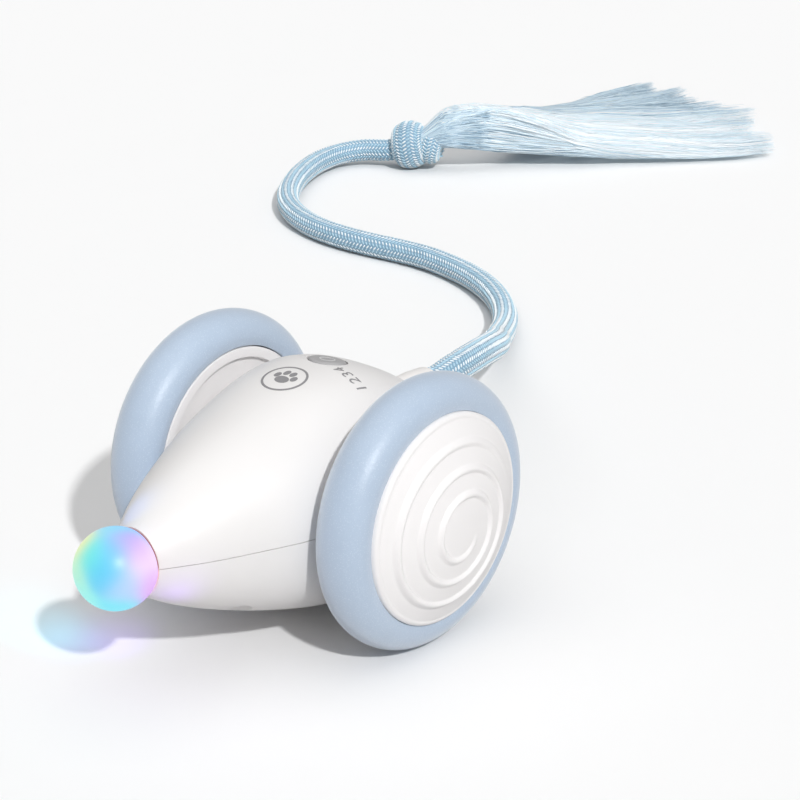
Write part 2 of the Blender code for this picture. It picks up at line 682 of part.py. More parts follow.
def make_shells():
    """Upper and lower shell, with their screw posts, board posts and openings."""
    seam_up = Vector((0, 0, HALF_SEAM))
    tall = Vector((0, 0, SHELL_CREST))
    deep = Vector((0, 0, -SHELL_BELLY))
    side_holes = bush_holes()
    places = [place for name, place in screw_places()]
    hole_radius = SHELL_SCREW_RADIUS + HOLE_GAP
    screw_top = SHELL_SCREW_LENGTH - SHELL_SCREW_SEAT_DROP + SHELL_SCREW_END_ROOM

    sleeve_start = SLEEVE_AXIS + Vector((0, SLEEVE_SOCKET_REACH, 0))
    sleeve_end = SLEEVE_AXIS + Vector((0, SLEEVE_END_REACH, 0))
    board_top = BOARD_RISE + BOARD_THICKNESS + SEAT_GAP
    board_posts = [on_axle(-reach, board_top) for reach in BOARD_SCREW_REACHES]
    upper_posts = [(place + seam_up, place + tall, SHELL_POST_RADIUS) for place in places]
    upper_posts += [(place, place + tall, BOARD_POST_RADIUS) for place in board_posts]
    upper_posts.append((sleeve_start, sleeve_end, SLEEVE_SOCKET_RADIUS))
    button_place = on_axle(BUTTON_BEHIND, BUTTON_FLANGE_RISE)
    upper_posts.append((button_place, button_place + tall, BUTTON_BOSS_RADIUS))
    board_screw_top = Vector((0, 0, BOARD_SCREW_LENGTH - BOARD_THICKNESS))
    upper_holes = [(place - tall, place + Vector((0, 0, screw_top)), hole_radius) for place in places]
    upper_holes += [(place - Vector((0, 0, SEAT_GAP)), place + board_screw_top, BOARD_HOLE_RADIUS)
                    for place in board_posts]
    upper_holes.append((sleeve_start - Vector((0, CUT_OVERRUN, 0)), sleeve_end, SLEEVE_RADIUS + SEAT_GAP))
    upper_holes.append((button_place - seam_up, button_place + tall, BUTTON_RADIUS + HOLE_GAP))
    upper_cutter = new_guide("upper_holes", rods_mesh("upper_holes", upper_holes, SMALL_STEPS + SMALL_STEPS // 2))
    shell_half("upper_shell", True, rods_mesh("upper_posts", upper_posts), [side_holes, upper_cutter])

    tray_under = -BATTERY_DROP - BATTERY_HEIGHT / 2 - TRAY_FLOOR - 2 * SEAT_GAP
    case_under = MOTOR_OFFSET[1] - CASE_MOTOR_RADIUS - SEAT_GAP
    charge_under = -SOCKET_DROP - SOCKET_HEIGHT / 2 - CHARGE_BOARD_THICKNESS - 2 * SEAT_GAP
    lower_posts = [(place + deep, place - seam_up, SHELL_POST_RADIUS) for place in places]
    props = [(-reach, side * TRAY_POST_SPREAD, tray_under) for reach in TRAY_POST_REACHES for n, side in SIDES]
    case_middle = (CASE_INNER_FACE + CASE_OUTER_FACE) / 2
    props += [(MOTOR_OFFSET[0], side * case_middle, case_under) for n, side in SIDES]
    rear_post = CHARGE_BOARD_REAR_REACH - CHARGE_POST_INSET
    front_post = CHARGE_BOARD_REAR_REACH - CHARGE_BOARD_LENGTH + CHARGE_POST_INSET
    props += [(front_post, side * CHARGE_POST_SPREAD, charge_under) for n, side in SIDES]
    props.append((rear_post, 0, charge_under))
    for reach, across, rise in props:
        top = on_axle(reach, rise, across)
        lower_posts.append((top + deep, top, TRAY_POST_RADIUS))
    seat = Vector((0, 0, -SHELL_SCREW_SEAT_DROP))
    narrow = [(place + seat - seam_up, place - deep, hole_radius) for place in places]
    wide = [(place + 2 * deep, place + seat, SHELL_SCREW_HEAD_RADIUS + HOLE_GAP) for place in places]
    slot_half = Vector((SOCKET_WIDTH, 0, SOCKET_HEIGHT)) / 2 + Vector((SEAT_GAP, 0, SEAT_GAP))
    slot_middle = on_axle(CHARGE_BOARD_REAR_REACH, -SOCKET_DROP)
    slot_end = slot_middle + Vector((0, SHELL_REAR_REACH, 0))
    slot = boxes_mesh("socket_slot", [(slot_middle - slot_half, slot_end + slot_half)])
    shell_half("lower_shell", False, rods_mesh("lower_posts", lower_posts),
               [side_holes, new_guide("screw_holes", rods_mesh("screw_holes", narrow)),
                new_guide("head_holes", rods_mesh("head_holes", wide)), new_guide("socket_slot", slot)])


def screw_profile(head_radius, head_height, radius, length):
    """Profile of a pan-head screw that points up from its head, which lies below zero height."""
    return ((0, length), (radius, length), (radius, 0), (head_radius, 0),
            (head_radius, -head_height), (0, -head_height))


def make_shell_screws():
    """Four screws, driven up from the belly into the upper shell's posts."""
    profile = screw_profile(SHELL_SCREW_HEAD_RADIUS, SHELL_SCREW_HEAD_HEIGHT, SHELL_SCREW_RADIUS, SHELL_SCREW_LENGTH)
    seat = Vector((0, 0, -SHELL_SCREW_SEAT_DROP - SEAT_GAP))
    for name, place in screw_places():
        turned(name, profile, SCREW_STEPS, "steel", location=place + seat)


def make_nose():
    """Hollow glowing ball with its flange and neck, the ring that keeps it in, and the light behind it."""
    flange_face = NOSE_REACH - SHELL_FRONT_REACH + SHELL_FRONT_TRIM - SEAT_GAP
    flange_front = flange_face - NOSE_FLANGE_THICKNESS
    neck_end = NOSE_REACH - NOSE_NECK_END_REACH
    inner = NOSE_RADIUS - NOSE_WALL
    inner_neck = NOSE_NECK_RADIUS - NOSE_WALL
    outer_turn = math.acos(flange_front / NOSE_RADIUS)
    inner_turn = math.asin(inner_neck / inner)
    steps = NOSE_ARC_STEPS
    profile = []
    for index in range(steps + 1):
        turn = math.pi - (math.pi - outer_turn) * index / steps
        profile.append((NOSE_RADIUS * math.sin(turn), NOSE_RADIUS * math.cos(turn)))
    profile[0] = (0, -NOSE_RADIUS)
    profile += [(NOSE_FLANGE_RADIUS, flange_front), (NOSE_FLANGE_RADIUS, flange_face),
                (NOSE_NECK_RADIUS, flange_face), (NOSE_NECK_RADIUS, neck_end), (inner_neck, neck_end)]
    for index in range(steps // 2 + 1):
        turn = inner_turn + (math.pi - inner_turn) * index / (steps // 2)
        profile.append((inner * math.sin(turn), inner * math.cos(turn)))
    profile[-1] = (0, -inner)
    backwards = (-math.pi / 2, 0, 0)
    turned("nose_lens", profile[::-1], NOSE_STEPS, "nose_glow", location=NOSE_CENTRE, rotation=backwards)

    ring_bore = NOSE_NECK_RADIUS + SEAT_GAP
    ring = ((RETAINER_RADIUS, RETAINER_THICKNESS), (RETAINER_RADIUS, 0), (ring_bore, 0), (ring_bore, RETAINER_THICKNESS))
    at_ring = NOSE_CENTRE + Vector((0, NOSE_REACH - RETAINER_REACH, 0))
    turned("nose_retainer", ring, NOSE_STEPS, "frame_grey", closed=True, location=at_ring, rotation=backwards)

    board_start = NOSE_CENTRE + Vector((0, neck_end + SEAT_GAP, 0))
    board = rods_mesh("nose_light_board", [((0, 0, 0), (0, LIGHT_BOARD_THICKNESS, 0), LIGHT_BOARD_RADIUS)], NOSE_STEPS)
    new_piece("nose_light_board", board, "board_green", location=board_start)
    half = LED_SIZE / 2
    lamp = boxes_mesh("nose_led", [((-half, -LED_HEIGHT, -half), (half, 0, half))])
    new_piece("nose_led", lamp, "led_white", location=board_start - Vector((0, SEAT_GAP, 0)))


def make_battery():
    """Flat battery cell in an open tray that stands on four posts of the lower shell."""
    centre = on_axle(-BATTERY_AHEAD, -BATTERY_DROP)
    half = Vector((BATTERY_WIDTH, BATTERY_LENGTH, BATTERY_HEIGHT)) / 2
    cell = new_piece("battery_cell", boxes_mesh("battery_cell", [(-half, half)]), "battery_silver", location=centre)
    edge = cell.modifiers.new("edge", "BEVEL")
    edge.width = BATTERY_EDGE
    edge.segments = 2
    room = half + Vector((SEAT_GAP, SEAT_GAP, SEAT_GAP))
    outer = room + Vector((TRAY_WALL, TRAY_WALL, TRAY_FLOOR))
    top = TRAY_DEPTH - room.z
    tray = new_piece("battery_tray", boxes_mesh("battery_tray", [(-outer, (outer.x, outer.y, top))]),
                     "frame_grey", location=centre)
    hollow = new_guide("tray_hollow", boxes_mesh("tray_hollow", [(-room, (room.x, room.y, top + CUT_OVERRUN))]))
    hollow.location = centre
    combine(tray, hollow, "DIFFERENCE")


def make_board():
    """Main board with its chips and its push switch, held up to the upper shell by two screws."""
    half = Vector((BOARD_WIDTH, BOARD_LENGTH, 0)) / 2
    centre = on_axle(BOARD_BEHIND, BOARD_RISE)
    slab = boxes_mesh("main_board", [(-half, (half.x, half.y, BOARD_THICKNESS))])
    board = new_piece("main_board", slab, "board_green", location=centre)
    tall = Vector((0, 0, CUT_OVERRUN))
    places = [on_axle(-reach, BOARD_RISE) for reach in BOARD_SCREW_REACHES]
    holes = rods_mesh("board_holes", [(place - tall, place + tall, BOARD_HOLE_RADIUS) for place in places])
    combine(board, new_guide("board_holes", holes), "DIFFERENCE")
    profile = screw_profile(BOARD_SCREW_HEAD_RADIUS, BOARD_SCREW_HEAD_HEIGHT, BOARD_SCREW_RADIUS, BOARD_SCREW_LENGTH)
    for name, place in zip(("board_screw_front", "board_screw_rear"), places):
        turned(name, profile, SCREW_STEPS, "steel", location=place - Vector((0, 0, SEAT_GAP)))
    top = BOARD_RISE + BOARD_THICKNESS + SEAT_GAP
    chips = (("control_chip", CONTROL_CHIP_SIZE, -CHIP_REACH, -CHIP_SPREAD),
             ("motor_driver_chip", DRIVER_CHIP_SIZE, -CHIP_REACH, CHIP_SPREAD),
             ("motion_sensor", SENSOR_CHIP_SIZE, SENSOR_BEHIND, CHIP_SPREAD))
    for name, size, reach, across in chips:
        block = boxes_mesh(name, [((-size / 2, -size / 2, 0), (size / 2, size / 2, CHIP_HEIGHT))])
        new_piece(name, block, "chip_black", location=on_axle(reach, top, across))
    reach = SWITCH_SIZE / 2
    body = boxes_mesh("button_switch", [((-reach, -reach, 0), (reach, reach, SWITCH_HEIGHT))])
    switch = new_piece("button_switch", body, "chip_black", location=on_axle(BUTTON_BEHIND, top))
    stem = new_guide("switch_stem", rods_mesh("switch_stem", [
        ((0, 0, SWITCH_HEIGHT / 2), (0, 0, SWITCH_HEIGHT + SWITCH_STEM_HEIGHT), SWITCH_STEM_RADIUS)], SCREW_STEPS))
    stem.location = switch.location
    combine(switch, stem, "UNION")


def make_button():
    """Round power button that slides down in the crest onto the switch."""
    place = on_axle(BUTTON_BEHIND, BUTTON_TOP_RISE)
    axis = joint_axis("power_button_axis", place)
    flange_top = BUTTON_FLANGE_RISE - BUTTON_TOP_RISE - SEAT_GAP
    switch_top = BOARD_RISE + BOARD_THICKNESS + SEAT_GAP + SWITCH_HEIGHT + SWITCH_STEM_HEIGHT
    pin_end = switch_top + BUTTON_TRAVEL + BUTTON_SWITCH_ROOM - BUTTON_TOP_RISE
    profile = ((0, 0), (BUTTON_RADIUS / 2, -BUTTON_CROWN / 4), (BUTTON_RADIUS - BUTTON_EDGE, -BUTTON_CROWN),
               (BUTTON_RADIUS, -BUTTON_CROWN - BUTTON_EDGE), (BUTTON_RADIUS, flange_top),
               (BUTTON_FLANGE_RADIUS, flange_top), (BUTTON_FLANGE_RADIUS, flange_top - BUTTON_FLANGE_THICKNESS),
               (BUTTON_PIN_RADIUS, flange_top - BUTTON_FLANGE_THICKNESS), (BUTTON_PIN_RADIUS, pin_end), (0, pin_end))
    turned("power_button", profile, NOSE_STEPS, "button_grey", location=place, parent=axis)


def make_charging():
    """Charging socket at the rear, on a small board that stands on three posts."""
    centre = on_axle(0, -SOCKET_DROP)
    half = Vector((SOCKET_WIDTH, 0, SOCKET_HEIGHT)) / 2
    rear = Vector((0, SOCKET_FACE_REACH, 0))
    body = boxes_mesh("charge_socket", [(rear - half - Vector((0, SOCKET_LENGTH, 0)), rear + half)])
    socket = new_piece("charge_socket", body, "steel", location=centre)
    mouth_half = half - Vector((SOCKET_WALL, 0, SOCKET_WALL))
    mouth = boxes_mesh("socket_mouth", [(rear - mouth_half - Vector((0, SOCKET_DEPTH, 0)),
                                         rear + mouth_half + Vector((0, CUT_OVERRUN, 0)))])
    tongue_half = Vector((SOCKET_TONGUE_WIDTH, 0, SOCKET_TONGUE_HEIGHT)) / 2
    tongue_start = rear - Vector((0, SOCKET_DEPTH + SOCKET_WALL, 0))
    tongue_end = rear - Vector((0, SOCKET_DEPTH - SOCKET_TONGUE_LENGTH, 0))
    tongue = boxes_mesh("socket_tongue", [(tongue_start - tongue_half, tongue_end + tongue_half)])
    for name, mesh, operation in (("socket_mouth", mouth, "DIFFERENCE"), ("socket_tongue", tongue, "UNION")):
        guide = new_guide(name, mesh)
        guide.location = centre
        combine(socket, guide, operation)
    board_half = Vector((CHARGE_BOARD_WIDTH / 2, CHARGE_BOARD_LENGTH, CHARGE_BOARD_THICKNESS))
    slab = boxes_mesh("charge_board", [(-board_half, (board_half.x, 0, 0))])
    under = -SOCKET_DROP - SOCKET_HEIGHT / 2 - SEAT_GAP
    new_piece("charge_board", slab, "board_green", location=on_axle(CHARGE_BOARD_REAR_REACH, under))


def can_outline(radius, half_height):
    """Round can with a flat top and bottom."""
    corner = math.asin(half_height / radius)
    steps = SMALL_STEPS // 2
    turns = [corner * (2 * index / steps - 1) for index in range(steps + 1)]
    right = [(radius * math.cos(turn), radius * math.sin(turn)) for turn in turns]
    return right + [(-across, -up) for across, up in right]


def housing_outline(wall_share):
    """Outline of the gearbox about the axle; wall_share 1 is its outside and 0 its hollow."""
    wall = CASE_WALL * wall_share + CASE_GEAR_CLEARANCE
    tip = GEAR_MODULE * TOOTH_TIP_SHARE
    rounds = ((GEAR_MODULE * DRIVE_TEETH / 2 + tip + wall, (0, 0)),
              (GEAR_MODULE * IDLER_LARGE_TEETH / 2 + tip + wall, tuple(IDLER_OFFSET)),
              (CASE_MOTOR_RADIUS - CASE_WALL * (1 - wall_share), tuple(MOTOR_OFFSET)))
    points = []
    for radius, centre in rounds:
        points += circle(radius, HOUSING_ARC_POINTS, centre)
    return hull(points)


def make_gearbox(side_name, side):
    """Gearbox case and cover, the pin of its idler, the bush of its axle and the motor beside it."""
    place = on_axle(0, 0)
    idler, motor = tuple(IDLER_OFFSET), tuple(MOTOR_OFFSET)
    case_holes = [circle(RUNNING_RADIUS, SMALL_STEPS), circle(IDLER_BORE_RADIUS, SCREW_STEPS, idler),
                  circle(MOTOR_SHAFT_HOLE_RADIUS, SCREW_STEPS, motor)]
    case = outline_mesh(side_name + "_case", [housing_outline(1)], CASE_INNER_FACE, CASE_OUTER_FACE, side)
    case = new_piece(side_name + "_gearbox_case", case, "frame_grey", location=place)
    hollow = outline_mesh(side_name + "_hollow", [housing_outline(0)], CASE_INNER_FACE + CASE_WALL,
                          CASE_OUTER_FACE + CUT_OVERRUN, side)
    holes = []
    for outline in case_holes:
        holes.append(outline_mesh(side_name + "_hole", [outline], CASE_INNER_FACE - CUT_OVERRUN,
                                  CASE_OUTER_FACE, side))
    for index, mesh in enumerate([hollow] + holes):
        guide = new_guide(side_name + "_case_cut_" + str(index), mesh)
        guide.location = place
        combine(case, guide, "DIFFERENCE")
    cover_outlines = [housing_outline(1), circle(BUSH_HOLE_RADIUS, SMALL_STEPS),
                      circle(IDLER_BORE_RADIUS, SCREW_STEPS, idler)]
    cover = outline_mesh(side_name + "_cover", cover_outlines, COVER_START, COVER_END, side)
    new_piece(side_name + "_gearbox_cover", cover, "frame_grey", location=place)

    outwards = (0, side * math.pi / 2, 0)
    bush = ((BUSH_RADIUS, BUSH_END), (BUSH_RADIUS, BUSH_START), (RUNNING_RADIUS, BUSH_START), (RUNNING_RADIUS, BUSH_END))
    turned(side_name + "_axle_bush", bush, SMALL_STEPS, "brass", closed=True, location=place, rotation=outwards)
    pin = ((0, COVER_END), (IDLER_PIN_RADIUS, COVER_END), (IDLER_PIN_RADIUS, CASE_INNER_FACE), (0, CASE_INNER_FACE))
    at_idler = on_axle(*IDLER_OFFSET)
    turned(side_name + "_idler_pin", pin, SCREW_STEPS, "steel", location=at_idler, rotation=outwards)

    at_motor = on_axle(*MOTOR_OFFSET)
    can_end = CASE_INNER_FACE - SEAT_GAP
    can_start = can_end - MOTOR_LENGTH
    can = outline_mesh(side_name + "_can", [can_outline(MOTOR_RADIUS, MOTOR_HALF_HEIGHT)], can_start, can_end, side)
    can = new_piece(side_name + "_motor", can, "steel", location=at_motor)
    bore = outline_mesh(side_name + "_can_bore", [circle(MOTOR_SHAFT_RADIUS + SEAT_GAP, SCREW_STEPS)],
                        can_end - CUT_OVERRUN, can_end + CUT_OVERRUN, side)
    guide = new_guide(side_name + "_can_bore", bore)
    guide.location = at_motor
    combine(can, guide, "DIFFERENCE")
    cap_end = can_start - SEAT_GAP
    cap = outline_mesh(side_name + "_end", [can_outline(MOTOR_CAP_RADIUS, MOTOR_HALF_HEIGHT)],
                       cap_end - MOTOR_CAP_LENGTH, cap_end, side)
    new_piece(side_name + "_motor_end_cap", cap, "gear_cream", location=at_motor)


def make_motor_gear(side_name, side):
    """Motor shaft and the pinion on it, which turn together."""
    place = on_axle(*MOTOR_OFFSET)
    axis = joint_axis(side_name + "_motor_shaft_axis", place)
    outwards = (0, side * math.pi / 2, 0)
    end = LARGE_LAYER + GEAR_FACE
    start = CASE_INNER_FACE - SEAT_GAP - CUT_OVERRUN + SEAT_GAP
    shaft = ((0, end), (MOTOR_SHAFT_RADIUS, end), (MOTOR_SHAFT_RADIUS, start), (0, start))
    turned(side_name + "_motor_shaft", shaft, SCREW_STEPS, "steel", location=place, rotation=outwards, parent=axis)
    first_tooth = MOTOR_BEARING + math.pi + math.pi / PINION_TEETH
    outlines = [gear_outline(PINION_TEETH, first_tooth), circle(PINION_BORE_RADIUS, SCREW_STEPS)]
    pinion = outline_mesh(side_name + "_pinion", outlines, LARGE_LAYER, end, side)
    new_piece(side_name + "_motor_pinion", pinion, "brass", location=place, parent=axis)


def make_idler(side_name, side):
    """Double gear: its large ring meets the motor pinion and its small one the drive gear."""
    place = on_axle(*IDLER_OFFSET)
    axis = joint_axis(side_name + "_idler_axis", place)
    large = [gear_outline(IDLER_LARGE_TEETH, MOTOR_BEARING)]
    mesh = outline_mesh(side_name + "_idler", large, LARGE_LAYER, LARGE_LAYER + GEAR_FACE, side)
    idler = new_piece(side_name + "_idler_gear", mesh, "gear_cream", location=place, parent=axis)
    small_tooth = IDLER_BEARING + math.pi + math.pi / IDLER_SMALL_TEETH
    overlap = GEAR_FACE / 2
    small = outline_mesh(side_name + "_idler_small", [gear_outline(IDLER_SMALL_TEETH, small_tooth)],
                         LARGE_LAYER + overlap, SMALL_LAYER + GEAR_FACE - SEAT_GAP, side)
    bore = outline_mesh(side_name + "_idler_bore", [circle(IDLER_BORE_RADIUS, SCREW_STEPS)],
                        LARGE_LAYER - CUT_OVERRUN, SMALL_LAYER + CUT_OVERRUN, side)
    for name, part, operation in (("_small_gear", small, "UNION"), ("_idler_bore", bore, "DIFFERENCE")):
        guide = new_guide(side_name + name, part)
        guide.location = place
        combine(idler, guide, operation)


def dome_height(radius):
    """Height of the hub cap's outer face at a radius, along the axle."""
    share = min(radius / CAP_RADIUS, 1.0)
    return CAP_EDGE + CAP_DOME_HEIGHT * (1 - share ** CAP_DOME_POWER_SHARE)


def ridge_mesh(name):
    """Spiral ridge that lies on the dome, as one closed sweep that tapers at both ends."""
    count = int(RIDGE_TURNS * RIDGE_POINTS_PER_TURN)
    bm = bmesh.new()
    rings = []
    for index in range(count + 1):
        share = index / count
        turn = RIDGE_START_TURN - 2 * math.pi * RIDGE_TURNS * share
        middle = RIDGE_START_RADIUS + RIDGE_PITCH * RIDGE_TURNS * share
        taper = min(1.0, share * 8, (1 - share) * 8)
        half = RIDGE_WIDTH / 2 * (0.4 + 0.6 * taper)
        rise = RIDGE_HEIGHT * max(taper, 0.1)
        ring = []
        for offset, lift in ((-half, -RIDGE_SINK), (-half / 2, rise), (half / 2, rise), (half, -RIDGE_SINK)):
            radius = middle + offset
            x = radius * math.cos(turn) + RIDGE_OFF_CENTRE[0]
            y = radius * math.sin(turn) + RIDGE_OFF_CENTRE[1]
            ring.append(bm.verts.new((x, y, dome_height(math.hypot(x, y)) + lift)))
        rings.append(ring)
    for ring, following in zip(rings, rings[1:]):
        for index in range(4):
            after = (index + 1) % 4
            bm.faces.new((ring[index], ring[after], following[after], following[index]))
    bm.faces.new(rings[0])
    bm.faces.new(rings[-1])
    return mesh_from(bm, name)


def make_wheel(side_name, side):
    """Tyre, rim, hub cap, axle, axle screw and drive gear, which turn as one."""
    place = on_axle(0, 0)
    axis = joint_axis(side_name + "_wheel_axis", place)
    outwards = (0, side * math.pi / 2, 0)
    placed = {"location": place, "rotation": outwards, "parent": axis}

    flat = math.cos(math.pi / TYRE_STEPS)
    land = math.sin(math.pi * (TYRE_ARC_STEPS // 2) / TYRE_ARC_STEPS)
    crown = (TYRE_RADIUS - TYRE_EDGE_RADIUS) / land
    tyre = []
    for index in range(TYRE_ARC_STEPS + 1):
        turn = math.pi * index / TYRE_ARC_STEPS
        radius = TYRE_EDGE_RADIUS + crown * math.sin(turn)
        tyre.append((radius / flat, TYRE_MIDDLE + TYRE_HALF_WIDTH * math.cos(turn)))
    tyre += [(TYRE_BORE_RADIUS / flat, RIM_INNER_END), (TYRE_BORE_RADIUS / flat, 2 * TYRE_MIDDLE - RIM_INNER_END)]
    turned(side_name + "_tyre", tyre, TYRE_STEPS, "tyre_blue", closed=True, phase=math.pi / TYRE_STEPS, **placed)

    barrel = RIM_RADIUS - RIM_BARREL_WALL
    back = RIM_DISH + RIM_WEB
    rim = ((RIM_RADIUS, RIM_OUTER_END), (RIM_RADIUS, RIM_INNER_END), (RIM_LIP_RADIUS, RIM_INNER_END),
           (RIM_LIP_RADIUS, RIM_INNER_END + RIM_LIP_DEPTH), (RIM_DISH_RADIUS, RIM_DISH), (RIM_BOSS_RADIUS, RIM_DISH),
           (RIM_BOSS_RADIUS, RIM_BOSS_START), (RUNNING_RADIUS, RIM_BOSS_START), (RUNNING_RADIUS, RIM_BOSS_END),
           (RIM_BOSS_RADIUS, RIM_BOSS_END), (RIM_BOSS_RADIUS, back), (barrel, back), (barrel, RIM_OUTER_END))
    turned(side_name + "_rim", rim, RIM_STEPS, "hub_white", closed=True, phase=math.pi / RIM_STEPS, **placed)

    cap_back = CAP_EDGE - CAP_EDGE_DEPTH
    skirt = barrel * math.cos(math.pi / RIM_STEPS) - SEAT_GAP
    skirt_inner = skirt - CAP_SKIRT_WALL
    cap = []
    for index in range(CAP_ARC_STEPS + 1):
        radius = CAP_RADIUS * math.sin(math.pi / 2 * index / CAP_ARC_STEPS)
        cap.append((radius, dome_height(radius)))
    cap += [(CAP_RADIUS, cap_back), (skirt, cap_back), (skirt, cap_back - CAP_SKIRT_LENGTH),
            (skirt_inner, cap_back - CAP_SKIRT_LENGTH)]
    for index in range(CAP_ARC_STEPS // 2, -1, -1):
        radius = skirt_inner * index / (CAP_ARC_STEPS // 2)
        cap.append((radius, dome_height(radius) - CAP_WALL))
    hub = turned(side_name + "_hub_cap", cap, TYRE_STEPS, "hub_white", phase=math.pi / TYRE_STEPS, **placed)
    ridge = new_guide(side_name + "_spiral", ridge_mesh(side_name + "_spiral"))
    ridge.location = place
    ridge.rotation_euler = outwards
    combine(hub, ridge, "UNION")

    hole_end = AXLE_OUTER_END - AXLE_SCREW_HOLE_DEPTH
    axle = ((0, hole_end), (AXLE_SCREW_HOLE_RADIUS, hole_end), (AXLE_SCREW_HOLE_RADIUS, AXLE_OUTER_END),
            (AXLE_RADIUS, AXLE_OUTER_END), (AXLE_RADIUS, AXLE_INNER_END), (0, AXLE_INNER_END))
    turned(side_name + "_axle", axle, SMALL_STEPS, "steel", **placed)
    head_start = RIM_BOSS_END + SEAT_GAP
    head_end = head_start + AXLE_SCREW_HEAD_HEIGHT
    tip = hole_end + SEAT_GAP
    screw = ((0, head_end), (AXLE_SCREW_HEAD_RADIUS, head_end), (AXLE_SCREW_HEAD_RADIUS, head_start),
             (AXLE_SCREW_RADIUS, head_start), (AXLE_SCREW_RADIUS, tip), (0, tip))
    turned(side_name + "_axle_screw", screw, SCREW_STEPS, "steel", **placed)

    outlines = [gear_outline(DRIVE_TEETH, IDLER_BEARING), circle(RUNNING_RADIUS, SMALL_STEPS)]
    drive = outline_mesh(side_name + "_drive", outlines, SMALL_LAYER, SMALL_LAYER + GEAR_FACE - SEAT_GAP, side)
    new_piece(side_name + "_drive_gear", drive, "gear_cream", location=place, parent=axis)


def smooth_route(points, spacing):
    """Read evenly spaced points from a smooth curve through the route's own points."""
    ends = [2 * points[0] - points[1]] + points + [2 * points[-1] - points[-2]]
    fine = []
    steps = 24
    for index in range(1, len(ends) - 2):
        before, start, end, after = ends[index - 1:index + 3]
        for step in range(steps):
            part = step / steps
            fine.append(start + part * (end - before) / 2
                        + part ** 2 * (before - 2.5 * start + 2 * end - after / 2)
                        + part ** 3 * (1.5 * (start - end) + (after - before) / 2))
    fine.append(points[-1])
    lengths = [0.0]
    for start, end in zip(fine, fine[1:]):
        lengths.append(lengths[-1] + (end - start).length)
    count = round(lengths[-1] / spacing)
    chosen, index = [], 0
    for number in range(count + 1):
        target = lengths[-1] * number / count
        while index < len(fine) - 2 and lengths[index + 1] < target:
            index += 1
        part = (target - lengths[index]) / (lengths[index + 1] - lengths[index])
        chosen.append(fine[index].lerp(fine[index + 1], part))
    return chosen


def make_tail():
    """Sleeve that plugs into the shell, with the cord, the knot and the tassel that hang from it."""
    axis = joint_axis("tail_axis", SLEEVE_AXIS)
    backwards = (-math.pi / 2, 0, 0)
    profile = ((0, SLEEVE_END_REACH), (SLEEVE_END_RADIUS - SLEEVE_EDGE, SLEEVE_END_REACH),
               (SLEEVE_END_RADIUS, SLEEVE_END_REACH - SLEEVE_EDGE),
               (SLEEVE_RADIUS, SLEEVE_END_REACH - SLEEVE_TAPER_LENGTH), (SLEEVE_RADIUS, SLEEVE_INNER_REACH),
               (0, SLEEVE_INNER_REACH))
    turned("tail_sleeve", profile, NOSE_STEPS, "sleeve_white", location=SLEEVE_AXIS, rotation=backwards, parent=axis)

    curve = bpy.data.curves.new("tail_cord", "CURVE")
    curve.dimensions = "3D"
    curve.bevel_depth = CORD_RADIUS
    curve.bevel_resolution = 2
    curve.use_fill_caps = True
    route = smooth_route(CORD_POINTS, CORD_POINT_SPACING)
    spline = curve.splines.new("POLY")
    spline.points.add(len(route) - 1)
    for point, place in zip(spline.points, route):
        point.co = (*(place - SLEEVE_AXIS), 1)
    new_piece("tail_cord", curve, "cord_blue", location=SLEEVE_AXIS, parent=axis)

    heading = CORD_POINTS[-1] - CORD_POINTS[-2]
    heading.z = 0
    heading.normalize()
    knot = CORD_POINTS[-1] + heading * (KNOT_HALF_LENGTH + 3 * SEAT_GAP)
    knot.z = KNOT_RADIUS
    flat = math.cos(math.pi / KNOT_SIDES)
    profile = [(0, KNOT_HALF_LENGTH)]
    for index in range(2 * KNOT_ARC_STEPS + 1):
        share = 1 - index / KNOT_ARC_STEPS
        radius = KNOT_END_RADIUS + (KNOT_RADIUS - KNOT_END_RADIUS) * (1 - share ** 2)
        profile.append((radius / flat, KNOT_HALF_LENGTH * share))
    profile.append((0, -KNOT_HALF_LENGTH))
    turn = heading.to_track_quat("Z", "Y").to_euler()
    turned("tail_knot", profile, KNOT_SIDES, "cord_blue", phase=math.pi / KNOT_SIDES, location=knot,
           rotation=turn, parent=axis)
    make_tassel(axis, knot + heading * (KNOT_HALF_LENGTH + SEAT_GAP), math.atan2(heading.y, heading.x))


